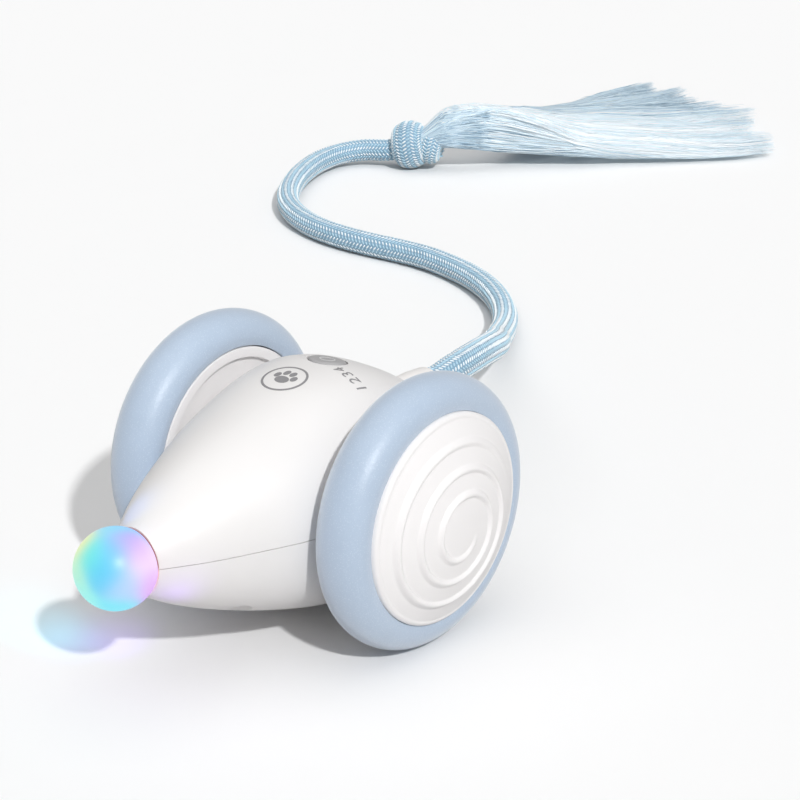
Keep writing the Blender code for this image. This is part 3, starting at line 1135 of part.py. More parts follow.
def make_tassel(axis, start, bearing):
    """Flat fan of yarn that rises a little from the knot, spreads on the floor and ends in locks."""
    columns = 2 * TASSEL_LOCKS
    bm = bmesh.new()
    tops, bottoms = [], []
    place = Vector((start.x, start.y, 0))
    reached = 0.0
    for share, wide, under, over in TASSEL_SHARES:
        heading = bearing + (TASSEL_BEARING - bearing) * min(share * TASSEL_BEND_PER_LENGTH, 1.0)
        forward = Vector((math.cos(heading), math.sin(heading), 0))
        sideways = Vector((-forward.y, forward.x, 0))
        place = place + forward * (share - reached) * TASSEL_LENGTH
        reached = share
        top_row, bottom_row = [], []
        for index in range(columns + 1):
            across = 2 * index / columns - 1
            crown = math.sqrt(max(1 - across ** 2, 0.0))
            lock = -TASSEL_LOCK_DEPTH * share ** 8 * (1 if index % 2 == 0 else -1) / 2
            spot = place + sideways * across * wide * TASSEL_HALF_WIDTH + forward * lock
            low = under * TASSEL_HEIGHT
            high = over * TASSEL_HEIGHT
            middle = (low + high) / 2 if under > TASSEL_SHARES[-1][2] else low + (high - low) / 4
            half_up = (high - middle) * (0.2 + 0.8 * crown)
            half_down = (middle - low) * (0.2 + 0.8 * crown)
            top_row.append(bm.verts.new(spot + Vector((0, 0, middle + half_up))))
            bottom_row.append(bm.verts.new(spot + Vector((0, 0, middle - half_down))))
        tops.append(top_row)
        bottoms.append(bottom_row)
    rows = len(TASSEL_SHARES)
    for row in range(rows - 1):
        for index in range(columns):
            for layer in (tops, bottoms):
                bm.faces.new((layer[row][index], layer[row][index + 1], layer[row + 1][index + 1], layer[row + 1][index]))
        for index in (0, columns):
            bm.faces.new((tops[row][index], bottoms[row][index], bottoms[row + 1][index], tops[row + 1][index]))
    for row in (0, rows - 1):
        for index in range(columns):
            bm.faces.new((tops[row][index], tops[row][index + 1], bottoms[row][index + 1], bottoms[row][index]))
    mesh = mesh_from(bm, "tail_tassel")
    mesh.transform(Matrix.Translation(-SLEEVE_AXIS))
    new_piece("tail_tassel", mesh, "tassel_blue", location=SLEEVE_AXIS, parent=axis)


def main():
    """Make every piece of the toy."""
    make_shells()
    make_shell_screws()
    make_nose()
    make_battery()
    make_board()
    make_button()
    make_charging()
    for side_name, side in SIDES:
        make_gearbox(side_name, side)
        make_motor_gear(side_name, side)
        make_idler(side_name, side)
        make_wheel(side_name, side)
    make_tail()


main()
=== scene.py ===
import json
import math
import random

import bmesh
import bpy
from bpy.props import FloatProperty, FloatVectorProperty, IntProperty, PointerProperty
from bpy.types import NodeSocket, Operator, Panel, PropertyGroup
from bpy.utils import register_class, unregister_class
from mathutils import Matrix, Vector, noise


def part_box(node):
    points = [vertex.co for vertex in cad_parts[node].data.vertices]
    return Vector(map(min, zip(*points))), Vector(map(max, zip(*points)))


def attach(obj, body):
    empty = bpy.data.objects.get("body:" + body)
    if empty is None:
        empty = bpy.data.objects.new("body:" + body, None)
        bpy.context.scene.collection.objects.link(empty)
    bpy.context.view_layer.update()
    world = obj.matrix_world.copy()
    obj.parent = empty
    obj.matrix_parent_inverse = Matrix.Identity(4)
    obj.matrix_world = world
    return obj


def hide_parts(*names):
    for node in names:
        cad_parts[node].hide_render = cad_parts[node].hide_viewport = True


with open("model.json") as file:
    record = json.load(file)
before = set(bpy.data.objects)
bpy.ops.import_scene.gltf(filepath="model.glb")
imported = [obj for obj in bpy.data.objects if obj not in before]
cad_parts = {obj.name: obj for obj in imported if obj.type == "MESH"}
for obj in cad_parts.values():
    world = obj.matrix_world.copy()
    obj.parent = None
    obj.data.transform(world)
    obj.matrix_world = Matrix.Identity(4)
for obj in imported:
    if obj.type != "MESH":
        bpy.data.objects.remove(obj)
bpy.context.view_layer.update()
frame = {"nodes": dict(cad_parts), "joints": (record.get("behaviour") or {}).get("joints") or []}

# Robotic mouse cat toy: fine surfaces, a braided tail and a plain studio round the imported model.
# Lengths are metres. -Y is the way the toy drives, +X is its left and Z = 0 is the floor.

bl_info = {
    "name": "Robotic Mouse Cat Toy",
    "version": (1, 0, 0),
    "blender": (4, 5, 0),
    "location": "View3D > Sidebar > Cat Toy",
    "description": "Dresses the packed cat toy with fine surfaces, a braided tail and a studio",
    "category": "Object",
}

# Fits and steps that several pieces share
SEAT_GAP = 0.0003
SKIN_LAP = 0.00002
CUT_OVERRUN = 0.004
MERGE_DISTANCE = 0.000005
FINE_STEPS = 128
ROUND_STEPS = 64

SIDES = (("left", 1), ("right", -1))

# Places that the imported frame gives
WHEEL_POINT = Vector(next(joint["pos_m"] for joint in frame["joints"] if joint["name"] == "left_wheel_spin"))
AXLE = Vector((0, WHEEL_POINT.y, WHEEL_POINT.z))
TYRE_MIDDLE = WHEEL_POINT.x
TYRE_RADIUS = AXLE.z

# Shell: the same sections as the solid one. Reaches are from the axle and heights from the seam
SHELL_FRONT_REACH = 0.0644
SHELL_REAR_REACH = 0.041
SHELL_HALF_WIDTH = 0.0259
SHELL_CREST = 0.0303
SHELL_BELLY = 0.0312
SHELL_FRONT_TRIM = 0.0006
SHELL_SKIN = 0.0013
SEAM_HALF_GAP = 0.00011
FRONT_SHARES = (
    (0.00, 1.000, 1.000, 1.000), (0.19, 1.000, 0.973, 0.949), (0.435, 0.958, 0.828, 0.803),
    (0.652, 0.749, 0.672, 0.645), (0.842, 0.526, 0.483, 0.469), (1.00, 0.284, 0.266, 0.271),
    (1.10, 0.130, 0.130, 0.130),
)
FULLNESS_SHARES = ((0.0, 2.5, 2.55), (0.19, 2.3, 2.5), (0.435, 2.0, 2.35), (0.7, 1.95, 2.25), (1.1, 2.0, 2.1))
REAR_SHARES = ((2.2, 0.4545), (1.5, 0.6), (2.0, 0.5))
SHELL_FRONT_RINGS = 56
SHELL_REAR_RINGS = 40

# Holes in the shell
BUSH_HOLE_RADIUS = 0.0033
BUTTON_HOLE_RADIUS = 0.00515
SLEEVE_HOLE_RADIUS = 0.0058
SCREW_HOLE_RADIUS = 0.00285
SCREW_SEAT_DROP = 0.0087

# Screws in the belly
SCREW_HEAD_RADIUS = 0.0025
SCREW_HEAD_HEIGHT = 0.0016
SCREW_RADIUS = 0.0013
SCREW_LENGTH = 0.016
SCREW_CROSS_LENGTH = 0.0028
SCREW_CROSS_WIDTH = 0.0006
SCREW_CROSS_DEPTH = 0.0007

# Nose ball, with the colours of its light: which way each lies from the middle and how narrow it is
NOSE_WALL = 0.0013
NOSE_FLANGE_RADIUS = 0.0079
NOSE_FLANGE_THICKNESS = 0.00035
NOSE_TRIM = 0.0002
NOSE_NECK_RADIUS = 0.0056
GLOW_SHARES = (
    ((-0.55, -0.50, 0.67), "EEF6B8", 14.0), ((-0.45, -0.88, 0.10), "C0F6D6", 12.0),
    ((-0.30, -0.88, -0.40), "9CFAF6", 12.0), ((-0.08, 0.03, 1.00), "97E4FC", 16.0),
    ((0.44, -0.46, 0.77), "74C6FB", 14.0), ((0.02, -0.72, 0.65), "6EEFE8", 13.0),
    ((0.45, -0.80, 0.33), "64D0FA", 12.0), ((0.55, -0.48, -0.68), "7CEEFF", 14.0),
    ((0.45, -0.05, 0.89), "C0B2FC", 16.0), ((0.72, 0.08, 0.68), "E8BCFB", 16.0),
    ((0.90, 0.10, 0.40), "FFE6FE", 12.0), ((0.99, 0.07, -0.12), "EDB8FD", 18.0),
    ((0.86, -0.45, -0.05), "BAD8FE", 12.0), ((-0.30, 0.75, 0.60), "7CC0FF", 5.0),
    ((0.10, 0.75, -0.65), "D890FF", 5.0),
)

# Wheels, measured along the axle from the toy's middle plane
TYRE_HALF_WIDTH = 0.00714
TYRE_EDGE_RADIUS = 0.02873
TYRE_BORE_RADIUS = 0.0269
TYRE_BEAD = 0.0003
TYRE_WALL_STEP = 0.0003
RIM_INNER = TYRE_MIDDLE - TYRE_HALF_WIDTH + TYRE_WALL_STEP
RIM_LIP_RADIUS = 0.0239
RIM_LIP_DEPTH = 0.0002
RIM_DISH_RADIUS = 0.0236
RIM_DISH_DEPTH = 0.0014
RIM_WEB = 0.0015
RIM_EDGE = 0.0003
RIM_BARREL_WALL = 0.002
RIM_BOSS_RADIUS = 0.005
RIM_BOSS_PROUD = 0.0010
RIM_BOSS_LENGTH = 0.008
RUNNING_RADIUS = 0.0018
CAP_EDGE = 0.0417
CAP_FIT = 0.00006
CAP_DOME_HEIGHT = 0.0069
CAP_DOME_POWER_SHARE = 2.2
CAP_WALL = 0.0017
CAP_EDGE_DEPTH = 0.0018
CAP_SKIRT_LENGTH = 0.0034
CAP_SKIRT_WALL = 0.0013
CAP_LIP_WIDTH = 0.0013
CAP_LIP_HEIGHT = 0.00028
CAP_FACE_RINGS = 150
CAP_INSIDE_RINGS = 15
CAP_FACE_STEPS = 288
RIDGE_START_RADIUS = 0.0054
RIDGE_START_TURN = math.radians(71)
RIDGE_OFF_CENTRE = (0.00136, -0.00135)
RIDGE_FADE_TURNS = 0.35
RIDGE_POWER_SHARE = 1.2

# Power button
BUTTON_RADIUS = 0.0048
BUTTON_FACE_SHARE = 0.86
BUTTON_EDGE = 0.0004
BUTTON_CROWN = 0.0004
BUTTON_FLANGE_RADIUS = 0.0058
BUTTON_FLANGE_DROP = 0.00515
BUTTON_FLANGE_THICKNESS = 0.001
BUTTON_PIN_RADIUS = 0.0015
BUTTON_MARK_RADIUS = 0.0017
BUTTON_MARK_WIDTH = 0.00035

# Printed marks on the crest, placed behind the axle and across the toy
PRINT_LIFT = 0.00002
PRINT_THICKNESS = 0.00004
PRINT_GRAIN = 0.0007
PRINT_SPLITS = 3
BADGE_BEHIND = -0.0109
BADGE_RADIUS = 0.00585
BADGE_LINE = 0.0006
PAW_PAD = (0.0, -0.0011, 0.0020, 0.0015)
PAW_TOES = ((-0.0026, 0.0004, 0.00085, 0.00115), (-0.0010, 0.0021, 0.00085, 0.0012),
            (0.0010, 0.0021, 0.00085, 0.0012), (0.0026, 0.0004, 0.00085, 0.00115))
DIAL_TEXT = "1 2 3 4"
DIAL_CENTRE_BEHIND = -0.0980
DIAL_ARC_RADIUS = 0.1000
DIAL_START = math.radians(-8.5)
DIAL_STEP = math.radians(1.5)
DIAL_HEIGHT = 0.0031
FIGURE_HEIGHT_SHARE = 0.7

# Tail: the sleeve, and the cord's route, which is the solid cord's own
SLEEVE_LOW, SLEEVE_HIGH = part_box("tail_sleeve")
SLEEVE_CENTRE = (SLEEVE_LOW + SLEEVE_HIGH) / 2
SLEEVE_RADIUS = 0.0055
SLEEVE_END_RADIUS = 0.0051
SLEEVE_EDGE = 0.0008
SLEEVE_TAPER_LENGTH = 0.006
SLEEVE_MOUTH_DEPTH = 0.0004
CORD_ROUTE = (
    (0.0000, 0.0006, 0.0453), (0.0000, 0.0038, 0.0453), (-0.0014, 0.0115, 0.0453),
    (-0.0045, 0.0220, 0.0441), (-0.0083, 0.0322, 0.0422), (-0.0130, 0.0420, 0.0395),
    (-0.0182, 0.0513, 0.0363), (-0.0240, 0.0601, 0.0329), (-0.0301, 0.0687, 0.0292),
    (-0.0364, 0.0771, 0.0255), (-0.0427, 0.0854, 0.0217), (-0.0490, 0.0938, 0.0179),
    (-0.0551, 0.1023, 0.0143), (-0.0611, 0.1111, 0.0110), (-0.0671, 0.1201, 0.0081),
    (-0.0730, 0.1292, 0.0059), (-0.0794, 0.1382, 0.0046), (-0.0868, 0.1465, 0.0043),
    (-0.0953, 0.1537, 0.0043), (-0.1047, 0.1595, 0.0044), (-0.1149, 0.1641, 0.0044),
    (-0.1255, 0.1673, 0.0043), (-0.1365, 0.1690, 0.0044), (-0.1476, 0.1691, 0.0043),
    (-0.1587, 0.1680, 0.0043), (-0.1698, 0.1673, 0.0044), (-0.1809, 0.1680, 0.0044),
    (-0.1917, 0.1706, 0.0043), (-0.2019, 0.1749, 0.0044), (-0.2111, 0.1811, 0.0044),
    (-0.2190, 0.1889, 0.0043), (-0.2257, 0.1978, 0.0043), (-0.2313, 0.2075, 0.0044),
    (-0.2357, 0.2177, 0.0045), (-0.2386, 0.2287, 0.0048), (-0.2381, 0.2397, 0.0053),
    (-0.2327, 0.2482, 0.0061), (-0.2231, 0.2533, 0.0068),
)
ROUTE = [Vector((across, SLEEVE_HIGH.y + back, up)) for across, back, up in CORD_ROUTE]
ROUTE_STEPS = 24
CORD_DIAMETER = 0.0086
CORD_STEP = 0.002
CORD_CORE_SHARE = 0.92
CORD_IN_KNOT_SHARE = 0.9
STITCH_VARIETY = (0.86, 1.12)
KNOT_RADIUS = 0.0094
KNOT_HALF_LENGTH = 0.0098
KNOT_CENTRE_AHEAD = KNOT_HALF_LENGTH + 3 * SEAT_GAP

# Bands of the knot: place along it, tilt, bearing of the tilt, ring radius, cord radius and stretch share
KNOT_BANDS = (
    (-0.0030, math.radians(10), math.radians(190), 0.0048, 0.0046, 1.42),
    (0.0056, math.radians(-12), math.radians(170), 0.0037, 0.0034, 1.25),
)
KNOT_BAND_STEPS = 72
KNOT_ROWS_SHARE = 1.2

# Tassel: the fan from the knot's middle, with shares of its length, half width, underside and top
TASSEL_LENGTH = 0.13
TASSEL_HALF_WIDTH = 0.054
TASSEL_HEIGHT = 0.0225
TASSEL_BEARING = math.radians(73.5)
FAN_LENGTH = TASSEL_LENGTH + KNOT_HALF_LENGTH
FAN_BEND_START_SHARE = 0.07
FAN_BEND_SHARE = 0.19
FAN_SHARES = (
    (0.000, 0.07, 0.38, 0.62), (0.036, 0.10, 0.42, 0.92), (0.08, 0.13, 0.42, 1.10), (0.15, 0.155, 0.40, 1.15),
    (0.215, 0.20, 0.32, 1.09), (0.31, 0.28, 0.18, 0.94), (0.45, 0.43, 0.06, 0.76), (0.63, 0.65, 0.01, 0.58),
    (0.82, 0.88, 0.01, 0.42), (1.00, 1.00, 0.01, 0.32), (1.15, 1.12, 0.01, 0.26),
)
FAN_STATIONS = 46

# Locks of yarn across the fan, from its near edge to its far one: place across, length and lightness, where
# the lightness is painted light and shade, lighter near and darker far
LOCK_SHARES = (
    (-0.89, 0.94, 0.30), (-0.76, 0.98, 0.14), (-0.60, 0.97, 0.36), (-0.42, 1.02, 0.14), (-0.25, 0.99, 0.26),
    (-0.08, 1.12, 0.10), (0.10, 1.06, -0.10), (0.28, 1.04, -0.16), (0.44, 0.97, -0.02), (0.60, 1.10, -0.16),
    (0.74, 1.02, -0.08), (0.87, 1.08, -0.16),
)
LOCK_HALF_SHARE = 0.16
LOCK_POINT_SHARE = 0.06
LOCK_GATHER_SHARE = 0.25

# Strands: layers as top, depth and power, then how much shorter, thinner, darker or wilder one may be
UPPER_LAYER_SHARE = (1.0, 0.75, 1.5)
UNDER_LAYER_SHARE = (0.4, 1.4, 1.0)
STRAND_POINTS = 12
STRAND_SIDES = 3
STRAND_REACH = 0.147
STRAND_SHORT_SHARE = (0.34, 2.5)
STRAND_TAPER_SHARE = (0.75, 4)
STRAND_ROOT_SHARE = (-0.8, 0.6, 0.95)
STRAND_CROSSING_SHARE = 0.42
STRAND_SINK_SHARE = 0.5
STRAND_TONE = 0.36
STRAND_TONE_SPREAD = 0.18
# Painted highlights: streaks of lighter tone laid across the locks by noise
PAINTED_HIGHLIGHT_TONE = 0.55
# Painted shade: strands lower in the fan are drawn darker, higher ones lighter
PAINTED_LAYER_SHADE = 0.10
PAINTED_HIGHLIGHT_STEPS = (14, 2.6, 2.0)
STRAY_SHARE = 0.06
STRAY_FACTOR = 4
SWING_SHARE = 0.10
SWING_STEPS = (3.5, 6.0, 4.0)
WAVE_HEIGHT = 0.0008
WAVE_STEPS = (8.0, 0.61)
RISE_HEIGHT = 0.0012
RISE_STEPS = (5.0, 7.0, 9.0)
SETTLE_STEPS = 4

# Least heights of neighbouring strands, so that the lowest ones lie on the floor side by side
FLOOR_LAYERS = (0.0002, 0.0006, 0.0010)

# Studio: each sun's way and spread in degrees, then small lamps for the light that the nose throws
FLOOR_HALF_SIZE = 3.0
CAMERA_NEAR = 0.004
SUNS = (("key_light", (-1.055, 0.60, -1.01), 2.5), ("overhead_light", (0.05, 0.12, -1), 70))
NOSE_LAMPS = (
    ("nose_lamp_cyan", (-0.0090, -0.0500, 0.0280), (-0.0450, -0.0370, 0.0), "20F0FF", 0.026),
    ("nose_lamp_blue", (-0.0090, -0.0510, 0.0280), (-0.0330, -0.0380, 0.0), "109CFF", 0.020),
    ("nose_lamp_violet", (-0.0080, -0.0480, 0.0280), (-0.0240, -0.0300, 0.0), "8A50FF", 0.017),
    ("nose_lamp_sky", (-0.0060, -0.0470, 0.0454), (-0.0038, -0.0420, 0.0454), "3C90FF", 0.0060),
    ("nose_lamp_lilac", (0.0130, -0.0560, 0.0170), (0.0095, -0.0425, 0.0272), "A058FF", 0.0090),
)
NOSE_LAMP_CONE = math.radians(34)
NOSE_LAMP_RADIUS = 0.004


def linear(value):
    """Turn one sRGB channel from 0 to 1 into its linear value."""
    return value / 12.92 if value <= 0.04045 else ((value + 0.055) / 1.055) ** 2.4


def rgb(hex_colour):
    """Turn a hex sRGB colour into linear red, green and blue."""
    return tuple(linear(int(hex_colour[start:start + 2], 16) / 255) for start in (0, 2, 4))


def rgba(colour):
    """Give a colour, hex or linear, as a socket value."""
    return (*(rgb(colour) if isinstance(colour, str) else tuple(colour)), 1.0)


def clamp(value, low=0.0, high=1.0):
    """Keep a value between two others."""
    return min(max(value, low), high)


def with_fields(thing, **fields):
    """Set fields of a thing, and give it back."""
    for field, value in fields.items():
        setattr(thing, field, value)
    return thing


def number(name, default, description):
    """A number above zero that a user may change."""
    return FloatProperty(name=name, description=description, default=default, min=0)


def length(name, default, description):
    """A length that a user may change."""
    return FloatProperty(name=name, description=description, default=default, min=0, unit="LENGTH",
                         precision=5)


def angle(name, degrees, description):
    """An angle that a user may change."""
    return FloatProperty(name=name, description=description, default=math.radians(degrees), subtype="ANGLE")


def colour(name, hex_colour, description):
    """A colour that a user may change."""
    return FloatVectorProperty(name=name, description=description, default=rgb(hex_colour), subtype="COLOR",
                               size=3, min=0, max=1)


def count(name, default, description):
    """A whole number from one up that a user may change."""
    return IntProperty(name=name, description=description, default=default, min=1)


class StageSettings(PropertyGroup):
    """Camera, floor and lights."""
    camera_place: FloatVectorProperty(name="Camera Place", description="Where the camera stands", size=3,
                                      default=(0.39444, -0.42757, 0.30050), subtype="TRANSLATION")
    camera_bearing: angle("Camera Bearing", 39.5, "How far the camera stands round the toy's left")
    camera_rise: angle("Camera Rise", 22.42, "How far the camera looks down")
    camera_lens: number("Lens", 116.59, "Focal length in millimetres")
    floor: colour("Floor", "F9F9F9", "Colour of the floor paper to the camera")
    bounce: colour("Bounce", "D8D7D6", "Colour of the light that the floor throws back on the toy")
    backdrop: colour("Backdrop", "FBFBFB", "Colour that the camera sees past the floor")
    key: number("Key Light", 2.10, "Strength of the window light from the left and the front")
    overhead: number("Overhead Light", 0.78, "Strength of the soft light from above")
    ambient: number("Room Light", 0.335, "Strength of the light that comes from all round")
    nose_lamps: number("Nose Lamps", 1.0, "Strength of the glow that the nose throws")


class ShellSettings(PropertyGroup):
    """Body shell, its print and its button."""
    colour: colour("Shell", "E9E7E6", "Colour of the shell's plastic")
    ink: colour("Ink", "8E8D8F", "Colour of the printed marks")
    button: colour("Button", "ACABAC", "Colour of the power button")


class NoseSettings(PropertyGroup):
    """Glowing nose ball."""
    glow: number("Glow", 0.70, "How brightly the ball shines")
    # The ring's colours are painted shade on its upper half and painted light on its lower half
    ring_shaded_top: colour("Ring Top", "A8555F", "Colour of the upper half of the ring behind the ball")
    ring_lit_bottom: colour("Ring Bottom", "FFC4CF", "Colour of the lower half of the ring")


class WheelSettings(PropertyGroup):
    """Tyres, rims and hub caps."""
    tyre: colour("Tyre", "B2C3D7", "Colour of the tyres' rubber")
    hub: colour("Hub", "F1EFEF", "Colour of the rims and hub caps")
    ridge_pitch: length("Ridge Pitch", 0.00604, "Distance between turns of the spiral")
    ridge_width: length("Ridge Width", 0.0023, "Width of the spiral ridge")
    ridge_height: length("Ridge Height", 0.0009, "Height of the spiral ridge")
    ridge_turns: number("Ridge Turns", 2.91, "Turns of the spiral")


class TailSettings(PropertyGroup):
    """Sleeve, braided cord, knot and tassel."""
    sleeve: colour("Sleeve", "EDEAE8", "Colour of the tail's sleeve")
    core: colour("Core", "86ABC4", "Colour in the depth of the braid")
    blue_yarn: colour("Blue Yarn", "B8D8E8", "Colour of the braid's blue yarn")
    white_yarn: colour("White Yarn", "F1F7FA", "Colour of the braid's white yarn")
    stitch_pitch: length("Stitch Pitch", 0.00145, "Distance between stitches along the cord")
    stitch_length: length("Stitch Length", 0.0016, "Length of one stitch")
    stitch_width: length("Stitch Width", 0.00056, "Width of one stitch")
    stitch_rows: count("Stitch Rows", 10, "Rows of each colour round the cord")
    stitch_slant: angle("Stitch Slant", 50, "Slant of the stitches")
    strands: count("Strands", 2600, "Strands of yarn in each half of the tassel")
    strand_radius: length("Strand Radius", 0.00017, "Radius of one strand")
    strand_dark: colour("Strand Shade", "A9C6DA", "Darkest strands of the tassel")
    strand_middle: colour("Strand Blue", "DCEEF8", "Most strands of the tassel")
    strand_light: colour("Strand Light", "FCFEFF", "Lightest strands of the tassel")
    seed: count("Seed", 11, "Start of the tassel's random numbers")


def add_node(tree, kind, inputs=(), **settings):
    """Add a node with its settings. An input takes a value, or the output of another node."""
    node = with_fields(tree.nodes.new(kind), **settings)
    for socket, given in dict(inputs).items():
        if isinstance(given, NodeSocket):
            tree.links.new(given, node.inputs[socket])
        else:
            node.inputs[socket].default_value = given
    return node


def calculate(tree, operation, *inputs):
    """Add a math node, and give its result."""
    return add_node(tree, "ShaderNodeMath", enumerate(inputs), operation=operation).outputs[0]


def combine_ways(tree, operation, first, second):
    """Add a vector math node for two vectors, or a vector and its scale, and give its result."""
    inputs = {0: first, "Scale" if operation == "SCALE" else 1: second}
    return add_node(tree, "ShaderNodeVectorMath", inputs, operation=operation).outputs[0]


def mixed(tree, part, first, second):
    """Mix two colours, and give the result."""
    return add_node(tree, "ShaderNodeMix", {0: part, 6: first, 7: second}, data_type="RGBA").outputs[2]


def ranged(tree, value, start, end, low, high):
    """Turn one range of a value into another, and give the result."""
    inputs = {"Value": value, "From Min": start, "From Max": end, "To Min": low, "To Max": high}
    return add_node(tree, "ShaderNodeMapRange", inputs).outputs["Result"]


def texture(tree, kind, size, inputs=(), **settings):
    """Add a texture whose pattern has a real size on the object, and give its outputs."""
    place = add_node(tree, "ShaderNodeTexCoord").outputs["Object"]
    inputs = {"Vector": place, "Scale": 1 / size, **dict(inputs)}
    return add_node(tree, "ShaderNodeTex" + kind, inputs, **settings).outputs


def plain_material(name, colour, roughness, **values):
    """Start a material, and give it with its tree and its Principled shader."""
    material = bpy.data.materials.new(name)
    material.use_nodes = True
    material.diffuse_color = rgba(colour)
    tree = material.node_tree
    shader = tree.nodes["Principled BSDF"]
    for socket, value in {"Base_Color": rgba(colour), "Roughness": roughness, **values}.items():
        shader.inputs[socket.replace("_", " ")].default_value = value
    return material, tree, shader


def cloudy_tone(tree, shader, colour, size, spread):
    """Vary a base colour a little in soft patches of a real size, and give the result."""
    patches = texture(tree, "Noise", size, {"Detail": 3.0})["Fac"]
    dark, light = (rgba([min(channel * factor, 1.0) for channel in rgba(colour)[:3]])
                   for factor in (1 - spread, 1 + spread))
    tone = mixed(tree, patches, dark, light)
    tree.links.new(tone, shader.inputs["Base Color"])
    return tone


def surface_grain(tree, shader, size, depth, detail=2.0):
    """Roughen a surface with grain of a real size and depth."""
    height = texture(tree, "Noise", size, {"Detail": detail})["Fac"]
    bump = add_node(tree, "ShaderNodeBump", {"Strength": 1.0, "Distance": depth, "Height": height})
    tree.links.new(bump.outputs["Normal"], shader.inputs["Normal"])


def grained(name, colour, roughness, patch, spread, grain, depth, **values):
    """Make a material with soft patches of colour and a fine grain."""
    material, tree, shader = plain_material(name, colour, roughness, **values)
    cloudy_tone(tree, shader, colour, patch, spread)
    surface_grain(tree, shader, grain, depth)
    return material


def shell_abs(colour):
    """ABS, injection moulded in a spark-eroded mould: a satin, faintly grained warm white."""
    return grained("moulded_shell_abs", colour, 0.42, patch=0.012, spread=0.012, grain=0.0005, depth=0.000004,
                   IOR=1.53)


def hub_abs(colour):
    """ABS, moulded smoother than the shell: the ridges catch soft, wide highlights."""
    return grained("moulded_hub_abs", colour, 0.38, patch=0.010, spread=0.010, grain=0.0004, depth=0.000003,
                   IOR=1.53)


def tyre_rubber(colour):
    """Thermoplastic rubber, moulded with a fine sand texture: soft sheen, with painted glints as tiny bright
    spots in the colour.
    """
    material, tree, shader = plain_material("moulded_tyre_rubber", colour, 0.40, IOR=1.50, Sheen_Weight=0.6,
                                            Sheen_Roughness=0.5)
    tone = cloudy_tone(tree, shader, colour, size=0.006, spread=0.03)
    # Painted glints: tiny spots of the colour lifted towards near white. Real grains are near 0.1 mm. They
    # are drawn at 0.5 mm, the smallest that shows
    grains = texture(tree, "Voronoi", size=0.0005)["Distance"]
    painted_glints = ranged(tree, grains, start=0.0, end=0.34, low=0.30, high=0.0)
    tree.links.new(mixed(tree, painted_glints, tone, rgba("F2F8FF")), shader.inputs["Base Color"])
    surface_grain(tree, shader, size=0.0006, depth=0.00007, detail=3.0)
    return material


def nose_polycarbonate(glow):
    """Opal polycarbonate, lit from inside by a colour-changing lamp: bands of colour under a satin gloss."""
    material, tree, shader = plain_material("lit_nose_polycarbonate", "C8D8E0", 0.43, IOR=1.58,
                                            Emission_Strength=glow)
    lit = add_node(tree, "ShaderNodeAttribute", attribute_name="glow_colour").outputs["Color"]
    tree.links.new(lit, shader.inputs["Emission Color"])
    tree.links.new(mixed(tree, 0.70, lit, rgba("000000")), shader.inputs["Base Color"])
    return material


def button_silicone(colour):
    """Silicone rubber key: dead matt, with dust-fine grain."""
    return grained("moulded_button_silicone", colour, 0.62, patch=0.002, spread=0.03, grain=0.00025,
                   depth=0.000008, IOR=1.43)


def sleeve_elastomer(colour):
    """Thermoplastic elastomer, moulded: soft satin white."""
    return grained("moulded_sleeve_elastomer", colour, 0.5, patch=0.004, spread=0.02, grain=0.0003,
                   depth=0.000006, IOR=1.5, Sheen_Weight=0.1)


def braid_polyester(name, colour, fibre, spread):
    """Polyester yarn: bright soft fibres, with a silky sheen at the edges."""
    return grained(name, colour, 0.55, patch=fibre, spread=spread, grain=fibre / 3, depth=0.00003, IOR=1.55,
                   Sheen_Weight=0.5, Sheen_Roughness=0.4)


def tassel_rayon(settings):
    """Combed rayon yarn: glossy threads in pale blue, whose tone runs to grey-blue for painted shade and to
    near white for painted highlights, with some random spread.
    """
    material, tree, shader = plain_material("combed_tassel_rayon", settings.strand_middle, 0.30, IOR=1.53,
                                            Specular_IOR_Level=0.8)
    shade = add_node(tree, "ShaderNodeAttribute", attribute_name="shade").outputs["Fac"]
    # The shade attribute holds each strand's tone, with painted light, painted shade and painted highlights
    # in it
    ramp = add_node(tree, "ShaderNodeValToRGB", {"Fac": shade})
    stops = ((0.0, settings.strand_dark), (0.45, settings.strand_middle), (1.0, settings.strand_light))
    ramp.color_ramp.elements.new(stops[1][0])
    for stop, (place, tint) in zip(ramp.color_ramp.elements, stops):
        with_fields(stop, position=place, color=rgba(tint))
    # The emission is light that passes from thread to thread, which the render's few bounces lose
    for socket in ("Base Color", "Emission Color"):
        tree.links.new(ramp.outputs["Color"], shader.inputs[socket])
    passed = ranged(tree, shade, start=0.1, end=1.0, low=0.03, high=0.17)
    tree.links.new(passed, shader.inputs["Emission Strength"])
    return material


def print_ink(colour):
    """Pad-printed ink: thin, matt grey with slightly uneven cover."""
    return grained("pad_printed_ink", colour, 0.6, patch=0.0015, spread=0.05, grain=0.0003, depth=0.000003)


def zinc_steel():
    """Zinc-plated steel: bright, with fine drawn streaks."""
    return grained("zinc_plated_steel", "C3C6CA", 0.28, patch=0.0015, spread=0.05, grain=0.0004,
                   depth=0.000006, Metallic=1.0)


def turned_brass():
    """Turned brass: warm yellow metal with tool marks."""
    return grained("turned_brass", "D1B066", 0.30, patch=0.001, spread=0.06, grain=0.00025, depth=0.000006,
                   Metallic=1.0)


def fibreglass_board():
    """Glass-fibre board with solder resist: green lacquer over copper tracks."""
    material, tree, shader = plain_material("lacquered_fibreglass_board", "2F6B4A", 0.35, Coat_Weight=0.5)
    tracks = texture(tree, "Brick", 0.004, {"Mortar Size": 0.06, "Color1": rgba("2F6B4A"),
                                            "Color2": rgba("2B6244"), "Mortar": rgba("4C8B62")}, offset=0.5)
    tree.links.new(tracks["Color"], shader.inputs["Base Color"])
    surface_grain(tree, shader, size=0.0005, depth=0.000008)
    return material


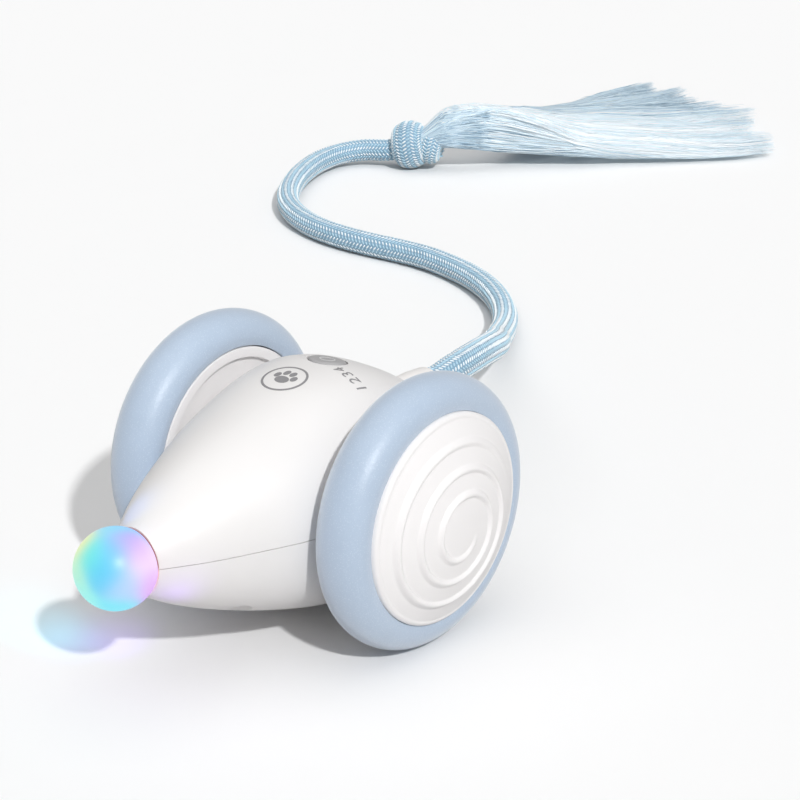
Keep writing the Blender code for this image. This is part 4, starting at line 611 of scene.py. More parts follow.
def moulded_inside(name, colour, roughness, patch=0.004, spread=0.04):
    """Plain moulded plastic of an inner piece: even colour with a faint flow pattern."""
    return grained(name, colour, roughness, patch, spread, grain=0.0004, depth=0.000006)


def foil_pouch():
    """Aluminium laminate pouch: dull silver with soft creases."""
    return grained("laminated_foil_pouch", "B4B8BC", 0.4, patch=0.003, spread=0.05, grain=0.004,
                   depth=0.00012, Metallic=0.8)


def plain_mesh(bm, name):
    """Turn a bmesh into a mesh."""
    mesh = bpy.data.meshes.new(name)
    bm.to_mesh(mesh)
    bm.free()
    return mesh


def closed_mesh(bm, name):
    """Turn a closed bmesh into a mesh whose faces point out."""
    bmesh.ops.recalc_face_normals(bm, faces=bm.faces)
    if bm.calc_volume(signed=True) < 0:
        bmesh.ops.reverse_faces(bm, faces=bm.faces)
    return plain_mesh(bm, name)


def new_object(name, data, *materials):
    """Link an object at the origin, with its materials."""
    made = bpy.data.objects.new(name, data)
    bpy.context.scene.collection.objects.link(made)
    for material in materials:
        made.data.materials.append(material)
    return made


def remove_objects(*things):
    """Remove helper objects."""
    for thing in things:
        bpy.data.objects.remove(thing, do_unlink=True)


def evaluated_mesh(source, name):
    """Copy an object as its modifiers leave it."""
    bpy.context.view_layer.update()
    graph = bpy.context.evaluated_depsgraph_get()
    return with_fields(bpy.data.meshes.new_from_object(source.evaluated_get(graph)), name=name)


def dressed(name, mesh, body, solids=(), material=None, sharp=None):
    """Put a fine piece on its body and in place of its solids, smooth up to a sharp angle."""
    made = new_object(name, mesh, *([material] if material else []))
    if sharp:
        mesh.shade_smooth()
        mesh.set_sharp_from_angle(angle=math.radians(sharp))
    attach(made, body)
    if solids:
        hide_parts(*solids)
    return made


def around(radius, steps, ahead=0.0):
    """Points evenly round a circle about local Z."""
    turns = (2 * math.pi * (step + ahead) / steps for step in range(steps))
    return [(radius * math.cos(turn), radius * math.sin(turn), 0.0) for turn in turns]


def arc(radius, start, end, steps):
    """Points of radius and height along an arc about the origin, where no turn is straight up."""
    turns = (start + (end - start) * step / steps for step in range(steps + 1))
    return [(radius * math.sin(turn), radius * math.cos(turn)) for turn in turns]


def rounded(profile, radius, closed=False, steps=4):
    """Round the corners of a profile of points, keeping the ends of an open one."""
    points = [Vector(point) for point in profile]
    made = []
    for index, corner in enumerate(points):
        if not closed and index in (0, len(points) - 1):
            made.append(corner)
            continue
        back = points[index - 1] - corner
        ahead = points[(index + 1) % len(points)] - corner
        reach = min(radius, back.length / 2.1, ahead.length / 2.1)
        start = corner + back.normalized() * reach
        end = corner + ahead.normalized() * reach
        for part in (step / steps for step in range(steps + 1)):
            made.append(start.lerp(corner, part).lerp(corner.lerp(end, part), part))
    return [tuple(point) for point in made]


def bridge(bm, rows, closed=False):
    """Lay faces between neighbouring rings of points, where a row of one point is a pole."""
    for row, following in zip(rows, rows[1:] + (rows[:1] if closed else [])):
        steps = max(len(row), len(following))
        for step in range(steps):
            after = (step + 1) % steps
            corners = (row[step % len(row)], row[after % len(row)],
                       following[after % len(following)], following[step % len(following)])
            bm.faces.new(list(dict.fromkeys(corners)))


def turned_mesh(name, profile, steps, place, closed=False, lift=None):
    """Turn a profile of radius and height round local Z into one closed mesh, and put it in place.

    lift adds to the height of each point, from its place across and its row in the profile.
    """
    bm = bmesh.new()
    rows = []
    for index, (radius, height) in enumerate(profile):
        ring = around(radius, steps) if radius > MERGE_DISTANCE else [(0.0, 0.0, 0.0)]
        rows.append([bm.verts.new((x, y, height + (lift(x, y, index) if lift else 0.0))) for x, y, z in ring])
    bridge(bm, rows, closed)
    mesh = closed_mesh(bm, name)
    mesh.transform(place)
    return mesh


def rods(name, ends, sides):
    """Make one helper object of separate cylinders, each given as start, end and radius."""
    bm = bmesh.new()
    for start, end, radius in ends:
        start, end = Vector(start), Vector(end)
        span = end - start
        place = Matrix.Translation((start + end) / 2) @ span.to_track_quat("Z", "Y").to_matrix().to_4x4()
        bmesh.ops.create_cone(bm, cap_ends=True, segments=sides, radius1=radius, radius2=radius,
                              depth=span.length, matrix=place)
    return new_object(name, closed_mesh(bm, name))


def box(name, low, high):
    """Make a helper box between two corners."""
    low, high = Vector(low), Vector(high)
    bm = bmesh.new()
    place = Matrix.Translation((low + high) / 2) @ Matrix.Diagonal((*(high - low), 1))
    bmesh.ops.create_cube(bm, size=1, matrix=place)
    return new_object(name, closed_mesh(bm, name))


def combine(piece, other, operation):
    """Cut, join or intersect a piece with another object."""
    with_fields(piece.modifiers.new(operation.lower() + "_" + other.name, "BOOLEAN"), operation=operation,
                object=other, solver="EXACT")


def start_tree(name, inputs):
    """Start a geometry tree, and give it and its inputs."""
    tree = bpy.data.node_groups.new(name, "GeometryNodeTree")
    for title, kind in inputs.items():
        tree.interface.new_socket(name=title, in_out="INPUT", socket_type="NodeSocket" + kind)
    tree.interface.new_socket(name="Made", in_out="OUTPUT", socket_type="NodeSocketGeometry")
    return tree, add_node(tree, "NodeGroupInput").outputs


def end_tree(tree, made, material):
    """End a geometry tree with real, smooth faces in one material."""
    for kind, inputs in (("RealizeInstances", {}), ("SetShadeSmooth", {}),
                         ("SetMaterial", {"Material": material})):
        made = add_node(tree, "GeometryNode" + kind, {"Geometry": made, **inputs}).outputs["Geometry"]
    add_node(tree, "NodeGroupOutput", {"Made": made})


def grown_mesh(name, tree, values, points=()):
    """Run a geometry tree on loose points, with its inputs by name, and give the mesh that it makes."""
    base = bpy.data.meshes.new(name + "_host")
    base.from_pydata([tuple(point) for point in points], [], [])
    host = new_object(name + "_host", base)
    change = with_fields(host.modifiers.new("grow", "NODES"), node_group=tree)
    for item in tree.interface.items_tree:
        if item.name in values:
            change[item.identifier] = values[item.name]
    mesh = evaluated_mesh(host, name)
    remove_objects(host)
    return mesh


def smooth_value(stations, share):
    """Read a smooth curve through pairs of share and value."""
    last = len(stations) - 1
    slopes = []
    for index in range(len(stations)):
        before, after = stations[max(index - 1, 0)], stations[min(index + 1, last)]
        slopes.append((after[1] - before[1]) / (after[0] - before[0]))
    index = 0
    while index < last - 1 and share > stations[index + 1][0]:
        index += 1
    (low, low_value), (high, high_value) = stations[index], stations[index + 1]
    width = high - low
    part = (share - low) / width
    square, cube = part ** 2, part ** 3
    return (low_value * (2 * cube - 3 * square + 1) + high_value * (3 * square - 2 * cube)
            + width * slopes[index] * (cube - 2 * square + part)
            + width * slopes[index + 1] * (cube - square))


def front_share(table, share, column):
    """Read one column of a front table, which is level where it meets the rear half."""
    stations = [(row[0], row[column]) for row in table]
    stations.insert(0, (-stations[1][0], stations[1][1]))
    return smooth_value(stations, share)


def shell_section(reach):
    """Half width, crest, belly and both fullness powers of the shell at a reach behind the axle."""
    if reach <= 0:
        share = -reach / SHELL_FRONT_REACH
        width, crest, belly = (front_share(FRONT_SHARES, share, column) for column in (1, 2, 3))
        over, under = (front_share(FULLNESS_SHARES, share, column) for column in (1, 2))
    else:
        share = min(reach / SHELL_REAR_REACH, 1.0)
        width, crest, belly = (max(1 - share ** power, 0.0) ** fall for power, fall in REAR_SHARES)
        over, under = FULLNESS_SHARES[0][1:]
    return width * SHELL_HALF_WIDTH, crest * SHELL_CREST, belly * SHELL_BELLY, over, under


def crest_height(x, y):
    """Height of the upper shell's face over a point."""
    width, crest, belly, over, under = shell_section(y - AXLE.y)
    return AXLE.z + crest * (1 - min(abs(x) / width, 1.0) ** over) ** (1 / over)


def teardrop_mesh(name):
    """Loft the teardrop finely through its sections, open at the nose."""
    reaches = [-SHELL_FRONT_REACH * (1 - index / SHELL_FRONT_RINGS) for index in range(SHELL_FRONT_RINGS)]
    reaches += [SHELL_REAR_REACH * math.sin(math.pi / 2 * index / SHELL_REAR_RINGS)
                for index in range(SHELL_REAR_RINGS)]
    bm = bmesh.new()
    rings = []
    for reach in reaches:
        width, crest, belly, over, under = shell_section(reach)
        ring = []
        for across, up, level in around(1, FINE_STEPS, ahead=0.5):
            height, power = (crest, over) if up > 0 else (belly, under)
            x = width * math.copysign(abs(across) ** (2 / power), across)
            z = height * math.copysign(abs(up) ** (2 / power), up)
            ring.append(bm.verts.new((x, AXLE.y + reach, AXLE.z + z)))
        rings.append(ring)
    bridge(bm, rings + [[bm.verts.new((0, AXLE.y + SHELL_REAR_REACH, AXLE.z))]])
    return closed_mesh(bm, name)


def merged_copy(node):
    """Copy a solid of the frame as one welded mesh."""
    bm = bmesh.new()
    bm.from_mesh(frame["nodes"][node].data)
    bmesh.ops.remove_doubles(bm, verts=bm.verts, dist=MERGE_DISTANCE)
    return new_object(node + "_copy", plain_mesh(bm, node + "_copy"))


def screw_places():
    """Middles of the four belly screws, at the undersides of their heads."""
    for end in ("front", "rear"):
        for side_name, side in SIDES:
            low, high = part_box("shell_screw_" + end + "_" + side_name)
            yield Vector(((low.x + high.x) / 2, (low.y + high.y) / 2, low.z + SCREW_HEAD_HEIGHT))


def button_top():
    """Middle of the power button's face."""
    low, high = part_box("power_button")
    return Vector((0, (low.y + high.y) / 2, high.z))


def fine_shell(name, above, material):
    """Dress one half of the shell: a fine outer skin joined to the solid's posts, with round holes."""
    way = 1 if above else -1
    piece = new_object(name + "_fine", teardrop_mesh(name + "_fine"))
    with_fields(piece.modifiers.new("wall", "SOLIDIFY"), thickness=SHELL_SKIN, offset=-1,
                use_even_offset=True)
    front = AXLE.y - SHELL_FRONT_REACH + SHELL_FRONT_TRIM - SKIN_LAP
    low, high = sorted((AXLE.z + way * (SEAM_HALF_GAP - SKIN_LAP), AXLE.z + way * 2 * SHELL_CREST))
    block = box("trim_block", (-SHELL_FRONT_REACH, front, low),
                (SHELL_FRONT_REACH, front + 2 * SHELL_FRONT_REACH, high))
    outward = Vector((SHELL_HALF_WIDTH / 2, 0, 0))
    bores = [(AXLE + side * outward, AXLE + side * 4 * outward, BUSH_HOLE_RADIUS)
             for side_name, side in SIDES]
    if above:
        top = button_top()
        drop = Vector((0, 0, BUTTON_FLANGE_DROP - SEAT_GAP))
        bores.append((top - drop, top + drop, BUTTON_HOLE_RADIUS))
        bores.append((SLEEVE_CENTRE, SLEEVE_CENTRE + Vector((0, SHELL_REAR_REACH, 0)), SLEEVE_HOLE_RADIUS))
    else:
        bores += [((place.x, place.y, -CUT_OVERRUN), (place.x, place.y, AXLE.z - SCREW_SEAT_DROP),
                   SCREW_HOLE_RADIUS) for place in screw_places()]
    steps = [(block, "INTERSECT"), (merged_copy(name), "UNION"),
             (rods("round_holes", bores, ROUND_STEPS), "DIFFERENCE")]
    if not above:
        low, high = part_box("charge_socket")
        gap = Vector((SEAT_GAP, 0, SEAT_GAP))
        steps.append((box("socket_slot", low - gap, high + gap + Vector((0, CUT_OVERRUN, 0))), "DIFFERENCE"))
    for other, operation in steps:
        combine(piece, other, operation)
    mesh = evaluated_mesh(piece, name + "_fine")
    mesh.materials.clear()
    remove_objects(piece, *[other for other, operation in steps])
    dressed(name + "_fine", mesh, "chassis", [name], material, sharp=30)


class CATTOY_OT_stage(Operator):
    """Make the camera, the floor and the lights"""
    bl_idname = "cat_toy.stage"
    bl_label = "Make Stage"

    def execute(self, context):
        settings = context.scene.cat_toy_stage
        data = with_fields(bpy.data.cameras.new("camera"), lens=settings.camera_lens, clip_start=CAMERA_NEAR,
                           clip_end=4 * FLOOR_HALF_SIZE)
        camera = new_object("camera", data)
        camera.location = settings.camera_place
        camera.rotation_euler = (math.pi / 2 - settings.camera_rise, 0, settings.camera_bearing)
        context.scene.camera = camera
        context.scene.view_settings.view_transform = "Standard"
        self.make_floor(settings)
        self.make_lights(settings)
        context.scene.world = self.make_room(settings)
        return {"FINISHED"}

    def make_floor(self, settings):
        """Seamless paper: matt white, a little brighter to the camera than to the toy."""
        size = FLOOR_HALF_SIZE
        mesh = bpy.data.meshes.new("floor")
        corners = [(-size, -size, 0), (size, -size, 0), (size, size, 0), (-size, size, 0)]
        mesh.from_pydata(corners, [], [(0, 1, 2, 3)])
        material, tree, shader = plain_material("studio_paper", settings.floor, 0.95, Specular_IOR_Level=0.0)
        seen = add_node(tree, "ShaderNodeLightPath").outputs["Is Camera Ray"]
        paper = mixed(tree, seen, rgba(settings.bounce), rgba(settings.floor))
        tree.links.new(paper, shader.inputs["Base Color"])
        new_object("floor", mesh, material)

    def make_lights(self, settings):
        """Window light from one side, a soft box above and the nose's glow."""
        for (name, travel, spread), strength in zip(SUNS, (settings.key, settings.overhead)):
            data = with_fields(bpy.data.lights.new(name, "SUN"), energy=strength, angle=math.radians(spread))
            self.aim(new_object(name, data), travel)
        for name, place, target, glow, power in NOSE_LAMPS:
            data = with_fields(bpy.data.lights.new(name, "SPOT"), energy=power * settings.nose_lamps,
                               color=rgb(glow), spot_size=NOSE_LAMP_CONE, spot_blend=1.0,
                               shadow_soft_size=NOSE_LAMP_RADIUS, specular_factor=0.0)
            lamp = with_fields(new_object(name, data), location=place, visible_camera=False)
            self.aim(lamp, Vector(target) - Vector(place))

    def aim(self, lamp, way):
        """Turn a lamp so that it shines one way."""
        lamp.rotation_euler = Vector(way).to_track_quat("-Z", "Y").to_euler()

    def make_room(self, settings):
        """World that lights the toy from all round and shows the camera a plain backdrop."""
        world = bpy.data.worlds.new("room")
        world.use_nodes = True
        tree = world.node_tree
        light = tree.nodes["Background"]
        light.inputs["Color"].default_value = rgba("FFFFFF")
        light.inputs["Strength"].default_value = settings.ambient
        seen = add_node(tree, "ShaderNodeBackground", {"Color": rgba(settings.backdrop), "Strength": 1.0})
        rays = add_node(tree, "ShaderNodeLightPath").outputs
        either = calculate(tree, "MAXIMUM", rays["Is Camera Ray"], rays["Is Transmission Ray"])
        mix = add_node(tree, "ShaderNodeMixShader", {0: either, 1: light.outputs[0], 2: seen.outputs[0]})
        tree.links.new(mix.outputs[0], tree.nodes["World Output"].inputs["Surface"])
        return world


class CATTOY_OT_shell(Operator):
    """Make the two halves of the body shell"""
    bl_idname = "cat_toy.shell"
    bl_label = "Make Shell"

    def execute(self, context):
        material = shell_abs(context.scene.cat_toy_shell.colour)
        fine_shell("upper_shell", True, material)
        fine_shell("lower_shell", False, material)
        return {"FINISHED"}


class CATTOY_OT_screws(Operator):
    """Make the four cross-head screws in the belly"""
    bl_idname = "cat_toy.screws"
    bl_label = "Make Belly Screws"

    def execute(self, context):
        profile = [(0, SCREW_LENGTH), (SCREW_RADIUS, SCREW_LENGTH - SCREW_RADIUS), (SCREW_RADIUS, 0),
                   (SCREW_HEAD_RADIUS, 0), (SCREW_HEAD_RADIUS, -SCREW_HEAD_HEIGHT), (0, -SCREW_HEAD_HEIGHT)]
        fine = rounded(profile, SCREW_CROSS_DEPTH / 2)
        screw = new_object("one_screw", turned_mesh("one_screw", fine, ROUND_STEPS // 2, Matrix.Identity(4)))
        cross = Vector((SCREW_CROSS_LENGTH, SCREW_CROSS_WIDTH)) / 2
        arms = []
        for wide, deep in (cross, cross.yx):
            arms.append(box("cross_arm", (-wide, -deep, -SCREW_HEAD_HEIGHT - CUT_OVERRUN),
                            (wide, deep, SCREW_CROSS_DEPTH - SCREW_HEAD_HEIGHT)))
            combine(screw, arms[-1], "DIFFERENCE")
        tree, given = start_tree("belly_screws", {"Places": "Geometry", "Screw": "Object",
                                                  "Finish": "Material"})
        shape = add_node(tree, "GeometryNodeObjectInfo", {"Object": given["Screw"]}).outputs["Geometry"]
        spread = add_node(tree, "GeometryNodeInstanceOnPoints",
                          {"Points": given["Places"], "Instance": shape})
        end_tree(tree, spread.outputs["Instances"], given["Finish"])
        mesh = grown_mesh("belly_screws", tree, {"Screw": screw, "Finish": zinc_steel()}, screw_places())
        remove_objects(screw, *arms)
        solids = ["shell_screw_" + end + "_" + side for end in ("front", "rear") for side, sign in SIDES]
        dressed("belly_screws", mesh, "chassis", solids, sharp=35)
        return {"FINISHED"}


class CATTOY_OT_print(Operator):
    """Print the paw badge and the numbers on the crest"""
    bl_idname = "cat_toy.print"
    bl_label = "Print Marks"

    def execute(self, context):
        ink = print_ink(context.scene.cat_toy_shell.ink)
        self.print_on_crest("printed_paw_badge", self.badge(), ink)
        self.print_on_crest("printed_numbers", self.numbers(), ink)
        return {"FINISHED"}

    def badge(self):
        """Paw print in a ring, drawn flat about the badge's middle with the toes to the rear."""
        bm = bmesh.new()
        for x, y, wide, high in (PAW_PAD, *PAW_TOES):
            place = Matrix.Translation((x, y, 0)) @ Matrix.Diagonal((wide, high, 1, 1))
            bmesh.ops.create_circle(bm, cap_ends=True, segments=ROUND_STEPS // 2, radius=1, matrix=place)
        bridge(bm, [[bm.verts.new(point) for point in around(radius, FINE_STEPS)]
                    for radius in (BADGE_RADIUS, BADGE_RADIUS - BADGE_LINE)])
        bmesh.ops.translate(bm, verts=bm.verts, vec=(0, AXLE.y + BADGE_BEHIND, 0))
        return bm

    def numbers(self):
        """Plain numbers along an arc in front of the button, to be read from behind."""
        bm = bmesh.new()
        for index, figure in enumerate(DIAL_TEXT.split()):
            curve = with_fields(bpy.data.curves.new("number", "FONT"), body=figure, align_x="CENTER",
                                align_y="CENTER", size=DIAL_HEIGHT / FIGURE_HEIGHT_SHARE)
            holder = new_object("number", curve)
            mesh = evaluated_mesh(holder, "number")
            remove_objects(holder)
            mesh.transform(Matrix.Translation((0, AXLE.y + DIAL_CENTRE_BEHIND, 0))
                           @ Matrix.Rotation(DIAL_START + index * DIAL_STEP, 4, "Z")
                           @ Matrix.Translation((0, DIAL_ARC_RADIUS, 0)) @ Matrix.Rotation(math.pi, 4, "Z"))
            bm.from_mesh(mesh)
            bpy.data.meshes.remove(mesh)
        bmesh.ops.remove_doubles(bm, verts=bm.verts, dist=MERGE_DISTANCE)
        return bm

    def print_on_crest(self, name, bm, ink):
        """Lay a flat drawing on the upper shell as a thin film of ink."""
        bmesh.ops.triangulate(bm, faces=bm.faces)
        for _ in range(PRINT_SPLITS):
            long_edges = [edge for edge in bm.edges if edge.calc_length() > PRINT_GRAIN]
            if not long_edges:
                break
            bmesh.ops.subdivide_edges(bm, edges=long_edges, cuts=1)
            bmesh.ops.triangulate(bm, faces=bm.faces)
        for vert in bm.verts:
            vert.co.z = crest_height(vert.co.x, vert.co.y) + PRINT_LIFT + PRINT_THICKNESS
        bm.normal_update()
        for face in bm.faces:
            if face.normal.z < 0:
                face.normal_flip()
        film = new_object("film", plain_mesh(bm, "film"))
        with_fields(film.modifiers.new("film", "SOLIDIFY"), thickness=PRINT_THICKNESS, offset=-1)
        mesh = evaluated_mesh(film, name)
        remove_objects(film)
        dressed(name, mesh, "chassis", material=ink)


class CATTOY_OT_nose(Operator):
    """Make the glowing nose ball with its flange and neck"""
    bl_idname = "cat_toy.nose"
    bl_label = "Make Nose"

    def execute(self, context):
        settings = context.scene.cat_toy_nose
        low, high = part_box("nose_lens")
        radius = (high.x - low.x) / 2 - NOSE_TRIM
        centre = Vector((0, low.y + radius, (low.z + high.z) / 2))
        face = AXLE.y - SHELL_FRONT_REACH + SHELL_FRONT_TRIM - SEAT_GAP - centre.y
        front = face - NOSE_FLANGE_THICKNESS
        neck_end = high.y - centre.y
        inner = radius - NOSE_WALL
        inner_neck = NOSE_NECK_RADIUS - NOSE_WALL
        profile = arc(radius, math.pi, math.acos(front / radius), ROUND_STEPS)
        profile += rounded([profile.pop(), (NOSE_FLANGE_RADIUS, front), (NOSE_FLANGE_RADIUS, face),
                            (NOSE_NECK_RADIUS, face), (NOSE_NECK_RADIUS, neck_end), (inner_neck, neck_end)],
                           NOSE_FLANGE_THICKNESS / 3)
        profile += arc(inner, math.asin(inner_neck / inner), math.pi, ROUND_STEPS // 2)[1:]
        place = Matrix.Translation(centre) @ Matrix.Rotation(-math.pi / 2, 4, "X")
        mesh = turned_mesh("nose_ball", profile, FINE_STEPS, place)
        self.paint_glow(mesh, centre, centre.y + front - NOSE_FLANGE_THICKNESS / 2, settings)
        dressed("nose_ball", mesh, "chassis", ["nose_lens"],
                nose_polycarbonate(settings.glow), sharp=40)
        return {"FINISHED"}

    def paint_glow(self, mesh, centre, ring_start, settings):
        """Blend the lamp's colours over the ball, and colour the ring behind it with painted shade above and
        painted light below.
        """
        layer = mesh.color_attributes.new("glow_colour", "FLOAT_COLOR", "POINT")
        lobes = [(Vector(way).normalized(), Vector(rgb(tint)), narrow) for way, tint, narrow in GLOW_SHARES]
        for vert, value in zip(mesh.vertices, layer.data):
            if vert.co.y > ring_start:
                # Painted shade at the ring's top, painted light at its bottom
                top = clamp((vert.co.z - centre.z) / NOSE_WALL + 0.5)
                blend = Vector(settings.ring_lit_bottom).lerp(Vector(settings.ring_shaded_top), top)
            else:
                way = (vert.co - centre).normalized()
                total, blend = 0.0, Vector((0, 0, 0))
                for axis, tint, narrow in lobes:
                    weight = math.exp(narrow * (way.dot(axis) - 1))
                    total += weight
                    blend += tint * weight
                blend /= total
            value.color = (*blend, 1.0)


class CATTOY_OT_button(Operator):
    """Make the power button in the crest"""
    bl_idname = "cat_toy.button"
    bl_label = "Make Button"

    def execute(self, context):
        low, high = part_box("power_button")
        top = button_top()
        flange = -BUTTON_FLANGE_DROP
        under = flange - BUTTON_FLANGE_THICKNESS
        pin_end = low.z - high.z
        profile = [(0, -BUTTON_CROWN / 2), (BUTTON_RADIUS / 2, -BUTTON_CROWN / 3),
                   (BUTTON_RADIUS * BUTTON_FACE_SHARE, 0), (BUTTON_RADIUS, -BUTTON_EDGE),
                   (BUTTON_RADIUS, flange), (BUTTON_FLANGE_RADIUS, flange), (BUTTON_FLANGE_RADIUS, under),
                   (BUTTON_PIN_RADIUS, under), (BUTTON_PIN_RADIUS, pin_end), (0, pin_end)]
        fine = rounded(profile, BUTTON_EDGE)
        face_rows = sum(height > flange / 2 for radius, height in fine)

        def follow_crest(x, y, index):
            return crest_height(x, top.y + y) - crest_height(0, top.y) if index < face_rows else 0.0

        place = Matrix.Translation(top)
        cap = turned_mesh("button_cap", fine, ROUND_STEPS, place, lift=follow_crest)
        silicone = button_silicone(context.scene.cat_toy_shell.button)
        dressed("button_cap", cap, "button", ["power_button"], silicone, sharp=35)
        low_face = -BUTTON_CROWN / 2
        high_face = low_face + 3 * PRINT_THICKNESS
        outside = BUTTON_MARK_RADIUS + BUTTON_MARK_WIDTH
        mark = [(BUTTON_MARK_RADIUS, low_face), (outside, low_face), (outside, high_face),
                (BUTTON_MARK_RADIUS, high_face)]
        ring = turned_mesh("button_ring_mark", mark, ROUND_STEPS, place, closed=True, lift=follow_crest)
        ink = moulded_inside("printed_white_ink", "D8D8D8", 0.5)
        dressed("button_ring_mark", ring, "button", material=ink, sharp=35)
        return {"FINISHED"}


class CATTOY_OT_wheels(Operator):
    """Make the tyres, rims and hub caps of both wheels"""
    bl_idname = "cat_toy.wheels"
    bl_label = "Make Wheels"

    def execute(self, context):
        settings = context.scene.cat_toy_wheels
        rubber = tyre_rubber(settings.tyre)
        plastic = hub_abs(settings.hub)
        for side_name, side in SIDES:
            outwards = Matrix.Translation(AXLE) @ Matrix.Rotation(side * math.pi / 2, 4, "Y")
            for part, make, material, slot in (
                    ("tyre", self.tyre, rubber, "tyre_rubber"), ("rim", self.rim, plastic, "shell_plastic"),
                    ("hub_cap", self.hub_cap, plastic, "shell_plastic")):
                solid = side_name + "_" + part
                mesh = make(solid + "_fine", outwards, settings)
                dressed(solid + "_fine", mesh, side_name + "_wheel", [solid], material, sharp=50)
        return {"FINISHED"}

    def tyre(self, name, place, settings):
        """Round tyre with a small bead where it meets the rim and the hub cap."""
        crown = TYRE_RADIUS - TYRE_EDGE_RADIUS
        profile = [(TYRE_EDGE_RADIUS + crown * high, TYRE_MIDDLE + TYRE_HALF_WIDTH * out)
                   for high, out in arc(1, 0, math.pi, ROUND_STEPS // 2)]
        outer = TYRE_MIDDLE + TYRE_HALF_WIDTH - TYRE_WALL_STEP
        bore = [profile[-1], (TYRE_BORE_RADIUS, RIM_INNER), (TYRE_BORE_RADIUS, outer), profile[0]]
        return turned_mesh(name, profile + rounded(bore, TYRE_BEAD)[1:-1], FINE_STEPS, place, closed=True)

    def rim(self, name, place, settings):
        """Dished rim with its lip, barrel and boss."""
        radius = TYRE_BORE_RADIUS - SEAT_GAP
        outer = CAP_EDGE - CAP_EDGE_DEPTH - SEAT_GAP
        dish = RIM_INNER + RIM_DISH_DEPTH
        boss = dish - RIM_BOSS_PROUD
        boss_end = boss + RIM_BOSS_LENGTH
        barrel = radius - RIM_BARREL_WALL
        back = dish + RIM_WEB
        profile = ((radius, outer), (radius, RIM_INNER), (RIM_LIP_RADIUS, RIM_INNER),
                   (RIM_LIP_RADIUS, RIM_INNER + RIM_LIP_DEPTH), (RIM_DISH_RADIUS, dish),
                   (RIM_BOSS_RADIUS, dish), (RIM_BOSS_RADIUS, boss), (RUNNING_RADIUS, boss),
                   (RUNNING_RADIUS, boss_end),
                   (RIM_BOSS_RADIUS, boss_end), (RIM_BOSS_RADIUS, back), (barrel, back), (barrel, outer))
        return turned_mesh(name, rounded(profile, RIM_EDGE, closed=True), FINE_STEPS, place, closed=True)

    def hub_cap(self, name, place, settings):
        """Domed cap with its spiral ridge, a thin raised line at its edge and a skirt behind."""
        radius = TYRE_BORE_RADIUS - CAP_FIT
        back = CAP_EDGE - CAP_EDGE_DEPTH
        skirt = TYRE_BORE_RADIUS - RIM_BARREL_WALL - 2 * SEAT_GAP
        inner = skirt - CAP_SKIRT_WALL

        def dome(across):
            return CAP_EDGE + CAP_DOME_HEIGHT * (1 - min(across / radius, 1.0) ** CAP_DOME_POWER_SHARE)

        profile = []
        for across in (radius * index / CAP_FACE_RINGS for index in range(CAP_FACE_RINGS + 1)):
            lip = max(1 - abs(across - radius + CAP_LIP_WIDTH / 2) / (CAP_LIP_WIDTH / 2), 0.0)
            profile.append((across, dome(across) + CAP_LIP_HEIGHT * math.sin(math.pi / 2 * lip)))
        skirt_end = back - CAP_SKIRT_LENGTH
        behind = [(radius, back), (skirt, back), (skirt, skirt_end), (inner, skirt_end)]
        profile += rounded([profile[-1]] + behind, CAP_LIP_HEIGHT)[1:]
        profile += [(across, dome(across) - CAP_WALL) for across in
                    (inner * index / CAP_INSIDE_RINGS for index in range(CAP_INSIDE_RINGS, -1, -1))]

        def lift(x, y, index):
            return self.spiral_rise(x, y, settings) if index < CAP_FACE_RINGS else 0.0

        return turned_mesh(name, profile, CAP_FACE_STEPS, place, lift=lift)

    def spiral_rise(self, x, y, settings):
        """Height of the spiral ridge over the dome, at a point of the hub cap's face."""
        dx, dy = x - RIDGE_OFF_CENTRE[0], y - RIDGE_OFF_CENTRE[1]
        radius = math.hypot(dx, dy)
        part = (RIDGE_START_TURN - math.atan2(dy, dx)) / (2 * math.pi) % 1
        swept = part + round((radius - RIDGE_START_RADIUS) / settings.ridge_pitch - part)
        off = abs(radius - RIDGE_START_RADIUS - settings.ridge_pitch * swept) / (settings.ridge_width / 2)
        if swept < 0 or swept > settings.ridge_turns or off >= 1:
            return 0.0
        fade = min(swept / RIDGE_FADE_TURNS, (settings.ridge_turns - swept) / RIDGE_FADE_TURNS, 1.0)
        rise = math.cos(math.pi / 2 * off) ** RIDGE_POWER_SHARE
        return settings.ridge_height * rise * fade * (2 - fade)


class CATTOY_OT_sleeve(Operator):
    """Make the sleeve that the tail leaves from"""
    bl_idname = "cat_toy.sleeve"
    bl_label = "Make Sleeve"

    def execute(self, context):
        half = (SLEEVE_HIGH.y - SLEEVE_LOW.y) / 2
        mouth = CORD_DIAMETER / 2
        sunk = half - SLEEVE_MOUTH_DEPTH
        profile = [(0, sunk), (mouth, sunk), (mouth + SLEEVE_EDGE / 2, half),
                   (SLEEVE_END_RADIUS, half - SLEEVE_EDGE), (SLEEVE_RADIUS, half - SLEEVE_TAPER_LENGTH),
                   (SLEEVE_RADIUS, -half), (0, -half)]
        place = Matrix.Translation(SLEEVE_CENTRE) @ Matrix.Rotation(-math.pi / 2, 4, "X")
        mesh = turned_mesh("sleeve_fine", rounded(profile, SLEEVE_EDGE / 2), ROUND_STEPS, place)
        elastomer = sleeve_elastomer(context.scene.cat_toy_tail.sleeve)
        dressed("sleeve_fine", mesh, "tail", ["tail_sleeve"], elastomer, sharp=35)
        return {"FINISHED"}


